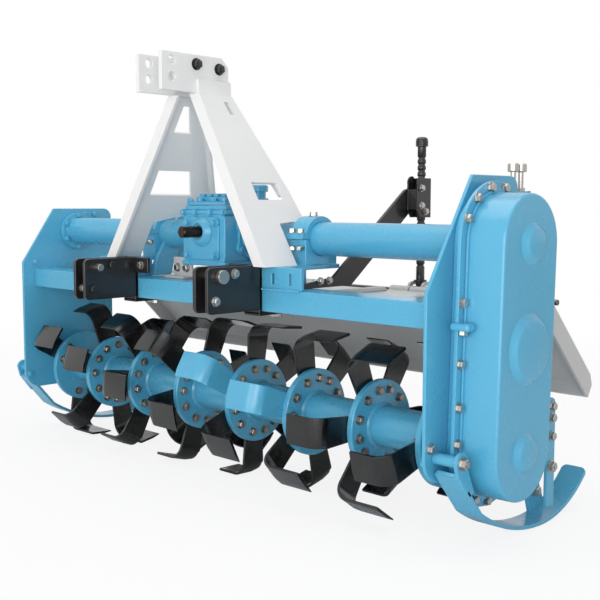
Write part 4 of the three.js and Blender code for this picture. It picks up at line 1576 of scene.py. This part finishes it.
@dataclass
class Rotor:
    """The tiller rotor: tube, blue flange discs, bolts and black blades."""

    places: tuple[float, ...] = (-808.0, -600.0, -360.0, -120.0, 120.0, 360.0, 600.0, 821.0)
    disc: float = 124.0
    half: float = 9.0
    bore: float = 55.4
    stub: float = 25.0
    stub_reach: Pair = (48.0, 73.2)
    tip: float = 238.0
    width: float = 80.0
    blade_thickness: float = 8.0
    bend: float = 36.0
    bend_steps: int = 9
    root: float = 62.0
    shank_half_widths: Pair = (22.0, 32.0)
    ground: float = 26.0
    ground_depth: float = 0.45
    wing_ends: Pair = (-122.0, 132.0)
    gang_turn: float = 14.7
    pair_turn: float = 56.0
    bolt_circle: float = 97.0
    bolt_turn: float = 15.0
    blue_wings: tuple[tuple[int, int], ...] = ((4, -1), (5, -1))
    blue_range: Pair = (45.0, 90.0)

    def build(self, shop: Workshop) -> None:
        """Makes the rotor's pieces.

        Args:
            shop: the workshop.
        """
        self._discs(shop)
        shop.rounded_copy("rotor_tube", BLUE_PAINT, edge=1.0)
        self._blades(shop)
        self._hardware(shop)

    def _hands(self, index: int) -> list[tuple[int, float]]:
        """The blades of one flange; the two end flanges have blades on their inner side only.

        Args:
            index: the flange, from the left.

        Returns:
            The side that each blade bends to and its angle in degrees.
        """
        last = len(self.places) - 1
        made = []
        for turn in (0.0, 120.0, 240.0):
            if index > 0:
                made.append((-1, turn + index * self.gang_turn))
            if index < last:
                made.append((1, turn + self.pair_turn + index * self.gang_turn))
        return made

    def _discs(self, shop: Workshop) -> None:
        """All the flange discs, with their weld fillets and the two stub shafts.

        Args:
            shop: the workshop.
        """
        bm = bmesh.new()
        h, r, bore, stub = self.half, self.disc, self.bore, self.stub
        last = len(self.places) - 1
        inner = [(-h - 7, bore), (-h - 6, bore + 2.5), (-h, bore + 8), (-h, r - 2), (-h + 2, r),
                 (h - 2, r), (h, r - 2), (h, bore + 8), (h + 6, bore + 2.5), (h + 7, bore)]
        for index, x in enumerate(self.places):
            profile = inner
            if index in (0, last):
                side = -1 if index == 0 else 1
                reach = self.stub_reach[min(index, 1)]
                outline = [(-h, 0), (-h, r - 2), (2 - h, r), (h - 2, r), (h, r - 2), (h, 66), (h + 8, 60),
                           (h + 8, stub), (reach, stub), (reach, 0)]
                profile = [(side * along, radius) for along, radius in outline]
            turned(bm, Axis.X, (x, 0, 0), profile, 72)
        shop.piece("rotor_flanges", bm, BLUE_PAINT, Body.ROTOR, tuple(f"blade_gang_{i + 1}" for i in range(last + 1)),
                   edge=0.0, smooth=36)

    def _path(self, side: int) -> list[tuple[float, float, float, float]]:
        """The inner line of a blade from its root to its wing's end.

        Args:
            side: -1 or 1, the way its wing bends.

        Returns:
            X and Z of each point, then X and Z of the direction its thickness has there.
        """
        outer = math.sqrt(self.tip ** 2 - (self.width / 2) ** 2)
        near = -self.half - 0.2
        shank = near - self.blade_thickness if side > 0 else near
        radius = self.bend + self.blade_thickness
        middle_x, middle_z = shank + side * radius, outer - radius
        path = [(shank, self.root, side, 0.0), (shank, self.root + 16, side, 0.0), (shank, middle_z, side, 0.0)]
        for step in range(1, self.bend_steps + 1):
            a = math.pi / 2 * step / self.bend_steps
            path.append((middle_x - side * radius * math.cos(a), middle_z + radius * math.sin(a),
                         side * math.cos(a), -math.sin(a)))
        end = self.wing_ends[1] if side > 0 else self.wing_ends[0]
        return path + [(end, outer, 0.0, -1.0)]

    def _blade(self, side: int) -> bmesh.types.BMesh:
        """One blade standing on +Z, with its ground edge.

        Args:
            side: -1 or 1, the way its wing bends.

        Returns:
            The blade's mesh, in millimetres.
        """
        t = self.blade_thickness
        rows = []
        for index, (x, z, nx, nz) in enumerate(self._path(side)):
            half = self.shank_half_widths[index] if index < 2 else self.width / 2
            sharpened = index > 3
            crease = half - (self.ground if sharpened else 8.0)
            lip = t - (t * self.ground_depth if sharpened else t)
            section = [(-half, 0.0), (crease, 0.0), (half, lip), (half, t), (crease, t), (-half, t)]
            rows.append([Vector((x + nx * d, -y, z + nz * d)) for y, d in section])
        bm = bmesh.new()
        strip(bm, rows)
        return bm

    def _blades(self, shop: Workshop) -> None:
        """Every blade, set on its flange by the repeated-part tree.

        Args:
            shop: the workshop.
        """
        first, last = self.blue_range
        for side, word in ((-1, "left"), (1, "right")):
            dark: list[Place] = []
            blue: list[Place] = []
            for index, x in enumerate(self.places):
                for hand, turn in self._hands(index):
                    if hand == side:
                        wing = (index, hand) in self.blue_wings and first < turn % 360 < last
                        (blue if wing else dark).append(((x, 0.0, 0.0), (math.radians(turn), 0.0, 0.0)))
            shop.stamped(f"blades_{word}", self._blade(side), dark, BLADE_BLACK, Body.ROTOR)
            if blue:
                shop.stamped(f"blades_{word}_blue", self._blade(side), blue, BLUE_PAINT, Body.ROTOR)

    def _hardware(self, shop: Workshop) -> None:
        """Bolt heads on the discs and nuts over the blade shanks.

        Args:
            shop: the workshop.
        """
        heads: list[Place] = []
        nuts: list[Place] = []
        back = self.half + self.blade_thickness + 0.2
        for index, x in enumerate(self.places):
            for _, turn in self._hands(index):
                for step in (-self.bolt_turn, self.bolt_turn):
                    a = math.radians(turn + step)
                    y, z = -self.bolt_circle * math.sin(a), self.bolt_circle * math.cos(a)
                    heads.append(((x + self.half, y, z), (1, 0, 0)))
                    nuts.append(((x - back, y, z), (-1, 0, 0)))
        shop.bolts("blade_bolts", BOLT_M12, heads, Body.ROTOR, DARK_ZINC)
        shop.bolts("blade_nuts", NUT_M12, nuts, Body.ROTOR, DARK_ZINC)


# ------------------------------------------------------------------ hood and board


@dataclass
class Hood:
    """The grey hood, its hinge and the trailing board."""

    top: float = 336.0
    ribs: int = 6
    first_rib: float = -665.0
    rib_spacing: float = 272.0
    rib_half: float = 9.0
    rib_height: float = 14.0
    bolts_x: tuple[float, ...] = tuple(range(-820, 880, 170))
    bolts_y: float = -46.0

    def build(self, shop: Workshop) -> None:
        """Makes the hood, rod and board.

        Args:
            shop: the workshop.
        """
        shop.rounded_copy("rotor_hood", GREY_PAINT, edge=1.5)
        shop.rounded_copy("trailing_board", GREY_PAINT, edge=2.5)
        shop.rounded_copy("hinge_rod", BARE_STEEL, edge=1.5)
        bm = bmesh.new()
        crest = self.top + self.rib_height
        outline = [(-44, self.top), (-30, crest), (224, crest), (240, self.top)]
        for index in range(self.ribs):
            x = self.first_rib + index * self.rib_spacing
            prism(bm, Axis.X, outline, x - self.rib_half, x + self.rib_half)
        shop.piece("hood_ribs", bm, GREY_PAINT, Body.FRAME, edge=4.0, smooth=30)
        shop.bolts("hood_bolts", BOLT_M10, [((x, self.bolts_y, self.top), (0, 0, 1)) for x in self.bolts_x], Body.FRAME)


# ------------------------------------------------------------------ board strut


@dataclass
class BoardStrut:
    """The black strut that sets the board's height."""

    x: float = 433.0
    y: float = 392.0
    rod: float = 13.0
    block_x: float = 40.0
    block_z: Pair = (550.0, 668.0)
    sleeve: Pair = (19.0, 16.0)
    rod_top: float = 792.0
    eye: float = 334.0
    notches: Pair = (400.0, 19.0)
    notch_depth: float = 2.6
    collar: Triple = (352.0, 360.0, 20.0)
    arm_bolts: tuple[Pair, ...] = ((0.0, 378.0), (-36.0, 378.0))

    def build(self, shop: Workshop) -> None:
        """Makes the arm, the block and the notched rod.

        Args:
            shop: the workshop.
        """
        shop.rounded_copy("strut_arm", BLACK_PAINT, edge=1.8)
        self._block(shop)
        self._rod(shop)

    def _block(self, shop: Workshop) -> None:
        """The guide block: two side plates round the rod with a rounded ear.

        Args:
            shop: the workshop.
        """
        x0, x1 = self.x - self.block_x / 2, self.x + self.block_x / 2
        low, high = self.block_z
        radius, length = self.sleeve
        bore = self.rod + 0.6
        bm = bmesh.new()
        ear = ([(self.y + 22, low), (self.y + 22, high), (self.y - 16, high)]
               + arc((self.y - 26, high - 14), 20, 70, 200, 8) + [(self.y - 46, low + 22), (self.y - 30, low)])
        for a, b in ((x0, x0 + 5), (x1 - 5, x1)):
            prism(bm, Axis.X, ear, a, b)
        for z in (low, high - length):
            turned(bm, Axis.Z, (self.x, self.y, z), [(0, bore), (0, radius), (length, radius), (length, bore)], 36)
        block(bm, (x0 + 4, x1 - 4), (self.y - 44, self.y - 20), (low + 24, high - 34))
        shop.piece("strut_guide", bm, BLACK_PAINT, Body.FRAME, ("strut_block",), edge=1.6, smooth=34)
        faces = [(self.y - 26, high - 30), (self.y - 6, low + 18), (self.y - 26, low + 36)]
        shop.bolts("strut_bolts", BOLT_M10,
                   facing(faces, x1, 1) + facing(faces, x0, -1) + facing(self.arm_bolts, x0 - SEAM, 1), Body.FRAME)

    def _profile(self) -> list[Pair]:
        """The rod's outline from its eye to its ribbed cap.

        Returns:
            Height and radius of each point.
        """
        rod, top = self.rod, self.rod_top
        profile = [(self.eye - 14, 0.0), (self.eye - 14, rod - 2), (self.eye - 12, rod)]
        z, spacing = self.notches
        floor = rod - self.notch_depth
        while z < top - 50:
            profile += [(z, rod - 0.2), (z + 2.5, floor), (z + 7, floor), (z + 9.5, rod - 0.2)]
            z += spacing
        profile += [(top - 30, rod), (top - 29, rod + 4)]
        for step in range(3):
            base = top - 28 + step * 6
            profile += [(base, rod + 6), (base + 4, rod + 6), (base + 5, rod + 4.4)]
        return profile + [(top - 9, rod + 5.5), (top - 4, rod + 3), (top - 1, rod - 3), (top, 0.0)]

    def _rod(self, shop: Workshop) -> None:
        """The rod with its row of notches, ribbed cap, clip and cross pin.

        Args:
            shop: the workshop.
        """
        bm = bmesh.new()
        turned(bm, Axis.Z, (self.x, self.y, 0), self._profile(), 36)
        reach = self.rod + 22
        turned(bm, Axis.X, (self.x, self.y, self.eye), [(-reach, 0), (-reach, 6), (reach, 6), (reach, 0)], 20)
        low, high, radius = self.collar
        bore = self.rod + 0.2
        turned(bm, Axis.Z, (self.x, self.y, 0), [(low, bore), (low, radius), (high, radius), (high, bore)], 28)
        shop.piece("strut_notched_rod", bm, BLACK_PAINT, Body.STRUT, ("strut_rod",), edge=0.6, smooth=50)


# ------------------------------------------------------------------ skids


@dataclass
class Skids:
    """The runners on the side plates."""

    plate: float = 905.0
    left_shift: float = 30.0
    pivot: Pair = (-166.0, -4.0)
    pivot_face: float = 983.0
    lug_bolts: tuple[Pair, ...] = ((215.0, -60.0), (262.0, -170.0))
    lug_face: float = 921.0
    inset: float = 6.0
    width: float = 72.0
    thickness: float = 10.0
    stand: float = 234.5
    low_y: float = 200.0
    front: Triple = (517.0, 33.7, 150.0)
    kick: float = 16.0
    front_shares: tuple[float, ...] = (1.0, 0.985, 0.96, 0.93, 0.6, 0.3, 0.08)
    arc_steps: int = 14
    rear: Pair = (324.0, 46.0)
    rear_shares: tuple[float, ...] = (0.08, 0.18, 0.28, 0.38, 0.48, 0.58, 0.68, 0.78, 0.88, 0.94, 0.97, 0.99, 1.0)
    corner: float = 16.0
    strap: Pair = (973.0, 983.0)
    strap_bolts: tuple[Pair, ...] = ((231.0, 72.0), (231.0, 42.0), (231.0, -6.0))
    strap_foot_bolt: Pair = (231.0, -86.0)

    def build(self, shop: Workshop) -> None:
        """Makes both skids, their bolts and the rear straps.

        Args:
            shop: the workshop.
        """
        large: list[Place] = []
        small: list[Place] = []
        for side, name in ((1, "right"), (-1, "left")):
            shift = 0.0 if side > 0 else self.left_shift
            self._runner(shop, side, shift, name)
            self._strap(shop, side, shift, name)
            strap = side * self.strap[1] + shift
            large += facing([self.pivot], side * self.pivot_face + shift, side)
            large += facing(self.lug_bolts, side * self.lug_face + shift, side)
            large += facing([self.strap_foot_bolt], strap, side)
            small += facing(self.strap_bolts, strap, side)
        shop.bolts("skid_bolts", BOLT_M16, large, Body.FRAME)
        shop.bolts("skid_strap_bolts", BOLT_M12, small, Body.FRAME)

    def _line(self) -> list[Triple]:
        """The runner's lower line: a straight nose, a wide arc and a tighter rising tail.

        Returns:
            Y, Z and slope in degrees of each point, from front to rear.
        """
        radius, angle, straight = self.front
        points = []
        y0, z0 = self._on_arc(radius, -angle)
        steep = math.radians(angle + self.kick)
        for share in self.front_shares:
            points.append((y0 - share * straight * math.cos(steep), z0 + share * straight * math.sin(steep),
                           -(angle + self.kick)))
        for step in range(self.arc_steps + 1):
            turn = -angle * (1 - step / self.arc_steps)
            points.append((*self._on_arc(radius, turn), turn))
        back, end = self.rear
        points += [(*self._on_arc(back, end * share), end * share) for share in self.rear_shares]
        return points

    def _on_arc(self, radius: float, turn: float) -> Pair:
        """A point on an arc that stands on the runner's lowest line, so many degrees from it."""
        a = math.radians(turn)
        return self.low_y + radius * math.sin(a), radius - self.stand - radius * math.cos(a)

    def _band(self, side: int, shift: float) -> list[list[Vector]]:
        """The runner's cross-sections, narrowed at both ends to round its corners.

        Args:
            side: 1 for the right, -1 for the left.
            shift: how far the left one is shifted along X.

        Returns:
            Four corners for each point of the lower line.
        """
        line = self._line()
        inner = self.plate + self.inset
        run = [0.0]
        for (ya, za, _), (yb, zb, _) in zip(line, line[1:]):
            run.append(run[-1] + math.hypot(yb - ya, zb - za))
        rows = []
        for (y, z, slope), along in zip(line, run):
            end = min(along, run[-1] - along)
            cut = 0.0 if end >= self.corner else self.corner - math.sqrt(self.corner ** 2 - (self.corner - end) ** 2)
            up = Vector((0, -math.sin(math.radians(slope)), math.cos(math.radians(slope)))) * self.thickness
            near, far = (Vector((side * x + shift, y, z)) for x in (inner + cut, inner + self.width - cut))
            rows.append([near, far, far + up, near + up])
        return rows

    def _runner(self, shop: Workshop, side: int, shift: float, name: str) -> None:
        """One runner with rounded ends, its front ear and spacer, and its rear lug.

        Args:
            shop: the workshop.
            side: 1 for the right, -1 for the left.
            shift: how far the left one is shifted along X.
            name: the side's name.
        """
        inner = self.plate + self.inset
        outer = inner + self.width
        against = self.plate + SEAM
        bm = bmesh.new()
        strip(bm, self._band(side, shift))
        y, z, _ = self._line()[0]
        ear = [(y + 2, z - 2), (y + 46, z - 60), (y + 70, z - 50)] + arc(self.pivot, 26, -30, 170, 12)
        prism(bm, Axis.X, ear, *span(side, outer - 10, outer, shift))
        near, far = span(side, against, outer - 5, shift)
        turned(bm, Axis.X, (0, *self.pivot), [(near, 0), (near, 14), (far, 14), (far, 0)], 32)
        lug = [(240, -229), (310, -208), (222, -20), (168, -20)]
        prism(bm, Axis.X, lug, *span(side, inner, inner + 10, shift))
        block(bm, span(side, against, inner + 1, shift), (174, 220), (-60, -24))
        shop.piece(f"skid_runner_{name}", bm, BLUE_PAINT, Body.FRAME, (f"skid_{name}",), edge=2.5, smooth=32)

    def _strap(self, shop: Workshop, side: int, shift: float, name: str) -> None:
        """The upright strap that ties a skid's rear end to its plate.

        Args:
            shop: the workshop.
            side: 1 for the right, -1 for the left.
            shift: how far the left one is shifted along X.
            name: the side's name.
        """
        bm = bmesh.new()
        outline = [(214, -190), (252, -196), (250, 76)] + arc((232, 76), 18, 0, 180, 8)
        prism(bm, Axis.X, outline, *span(side, *self.strap, shift))
        near, far = span(side, self.plate + SEAM, self.strap[0] + 1, shift)
        for z in (60.0, -40.0):
            turned(bm, Axis.X, (0, 216, z), [(near, 0), (near, 12), (far, 12), (far, 0)], 24)
        shop.piece(f"skid_strap_{name}", bm, BLUE_PAINT, Body.FRAME, edge=2.2, smooth=36)


# ------------------------------------------------------------------ studio


@dataclass(frozen=True)
class Softbox:
    """A square lamp that faces the machine.

    Args:
        name: the lamp's name.
        place: where it stands, in metres.
        target: what it faces.
        size: its side.
        power: its power in watts.
    """

    name: str
    place: Triple
    target: Triple
    size: float
    power: float

    def build(self) -> None:
        """Adds the lamp."""
        data = bpy.data.lights.new(self.name, "AREA")
        data.size = self.size
        data.energy = self.power
        lamp = bpy.data.objects.new(self.name, data)
        bpy.context.scene.collection.objects.link(lamp)
        lamp.location = self.place
        lamp.rotation_euler = (Vector(self.target) - Vector(self.place)).to_track_quat("-Z", "Y").to_euler()


@dataclass
class Studio:
    """A pale floor, soft light and the camera."""

    camera_place: Triple = (2236.0, -1994.0, 585.0)
    azimuth: float = 44.14
    drop: float = 5.54
    roll: float = 0.1
    lens: float = 58.4
    floor_half: float = 30.0
    fade: Pair = (1.2, 4.0)
    floor_glow: Pair = (0.86, 1.0)
    ambient: float = 0.47
    lamps: tuple[Softbox, ...] = (
        Softbox("Overhead softbox", (0.0, -0.3, 4.6), (0.0, 0.0, 0.4), 4.0, 88.0),
        Softbox("Front softbox", (0.6, -5.0, 0.9), (0.2, 0.0, 0.4), 3.0, 70.0),
        Softbox("Side softbox", (3.4, -3.6, 0.9), (0.3, 0.0, 0.4), 2.6, 92.0),
    )

    def build(self, datum: Datum) -> None:
        """Makes the floor, the lamps, the world and the camera.

        Args:
            datum: where the machine stands.
        """
        self._camera(datum)
        self._floor()
        self._world()
        for lamp in self.lamps:
            lamp.build()

    def _camera(self, datum: Datum) -> None:
        """Places the camera at the view's angle.

        Args:
            datum: where the machine stands.
        """
        data = bpy.data.cameras.new("View")
        data.lens = self.lens
        data.sensor_width = 36.0
        data.clip_end = 100.0
        camera = bpy.data.objects.new("View", data)
        bpy.context.scene.collection.objects.link(camera)
        camera.location = datum.point(*self.camera_place)
        camera.rotation_euler = (math.radians(90 - self.drop), math.radians(-self.roll), math.radians(self.azimuth))
        bpy.context.scene.camera = camera

    def _floor(self) -> None:
        """A wide floor that keeps the machine's shadow and fades to white away from it."""
        half = self.floor_half
        mesh = bpy.data.meshes.new("Floor")
        mesh.from_pydata([(-half, -half, 0), (half, -half, 0), (half, half, 0), (-half, half, 0)], [],
                         [(0, 1, 2, 3)])
        floor = bpy.data.objects.new("Floor", mesh)
        bpy.context.scene.collection.objects.link(floor)
        made = bpy.data.materials.new("Studio floor")
        made.use_nodes = True
        tree = made.node_tree
        shader = tree.nodes["Principled BSDF"]
        shader.inputs["Base Color"].default_value = (0.9, 0.9, 0.9, 1)
        shader.inputs["Roughness"].default_value = 0.9
        glow = tree.nodes.new("ShaderNodeEmission")
        glow.inputs["Strength"].default_value = 1.0
        place = tree.nodes.new("ShaderNodeTexCoord")
        reach = tree.nodes.new("ShaderNodeVectorMath")
        reach.operation = "LENGTH"
        fade = tree.nodes.new("ShaderNodeMapRange")
        for label, limit in zip(("From Min", "From Max", "To Min", "To Max"), (*self.fade, *self.floor_glow)):
            fade.inputs[label].default_value = limit
        tree.links.new(place.outputs["Object"], reach.inputs[0])
        tree.links.new(reach.outputs["Value"], fade.inputs["Value"])
        seen = tree.nodes.new("ShaderNodeLightPath").outputs["Is Camera Ray"]
        share = self._joined(tree, "MULTIPLY", seen, fade.outputs["Result"])
        mix = tree.nodes.new("ShaderNodeMixShader")
        self._shown(tree, mix, share, shader.outputs["BSDF"], glow.outputs["Emission"])
        tree.links.new(mix.outputs["Shader"], tree.nodes["Material Output"].inputs["Surface"])
        mesh.materials.append(made)

    def _world(self) -> None:
        """Even light, with a white background for what looks or reflects straight at it."""
        world = bpy.data.worlds.new("Studio")
        bpy.context.scene.world = world
        world.use_nodes = True
        tree = world.node_tree
        light = tree.nodes["Background"]
        backdrop = tree.nodes.new("ShaderNodeBackground")
        for background, strength in ((light, self.ambient), (backdrop, 1.0)):
            background.inputs["Color"].default_value = (1, 1, 1, 1)
            background.inputs["Strength"].default_value = strength
        path = tree.nodes.new("ShaderNodeLightPath")
        seen = path.outputs["Is Camera Ray"]
        for ray in ("Is Glossy Ray", "Is Transmission Ray"):
            seen = self._joined(tree, "MAXIMUM", seen, path.outputs[ray])
        mix = tree.nodes.new("ShaderNodeMixShader")
        self._shown(tree, mix, seen, light.outputs["Background"], backdrop.outputs["Background"])
        tree.links.new(mix.outputs["Shader"], tree.nodes["World Output"].inputs["Surface"])

    @staticmethod
    def _joined(tree: bpy.types.NodeTree, operation: str, first: bpy.types.NodeSocket,
                second: bpy.types.NodeSocket) -> bpy.types.NodeSocket:
        """Adds a Math node that joins two values.

        Args:
            tree: the tree it is added to.
            operation: what it does, such as MULTIPLY.
            first: the first value.
            second: the second value.

        Returns:
            The result.
        """
        node = tree.nodes.new("ShaderNodeMath")
        node.operation = operation
        tree.links.new(first, node.inputs[0])
        tree.links.new(second, node.inputs[1])
        return node.outputs["Value"]

    @staticmethod
    def _shown(tree: bpy.types.NodeTree, mix: bpy.types.Node, share: bpy.types.NodeSocket,
               first: bpy.types.NodeSocket, second: bpy.types.NodeSocket) -> None:
        """Feeds a Mix Shader.

        Args:
            tree: the tree it is in.
            mix: the Mix Shader.
            share: the share of the second shader.
            first: the first shader.
            second: the second shader.
        """
        tree.links.new(share, mix.inputs["Fac"])
        tree.links.new(first, mix.inputs[1])
        tree.links.new(second, mix.inputs[2])


def main() -> None:
    """Builds the machine in order."""
    logging.basicConfig(level=logging.INFO, format="%(message)s")
    bpy.ops.wm.read_factory_settings(use_empty=True)
    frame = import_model()
    datum = Datum.from_frame()
    shop = Workshop(frame, datum, Paintshop())
    Studio().build(datum)
    for part in (MainFrame(), Gearbox(), SideDrive(), Mast(), Saddles(), HitchBrackets(), Rotor(), Hood(),
                 BoardStrut(), Skids()):
        log.info("-- %s", type(part).__name__)
        part.build(shop)
    bpy.context.scene.view_settings.view_transform = "Standard"


if __name__ == "__main__":
    main()
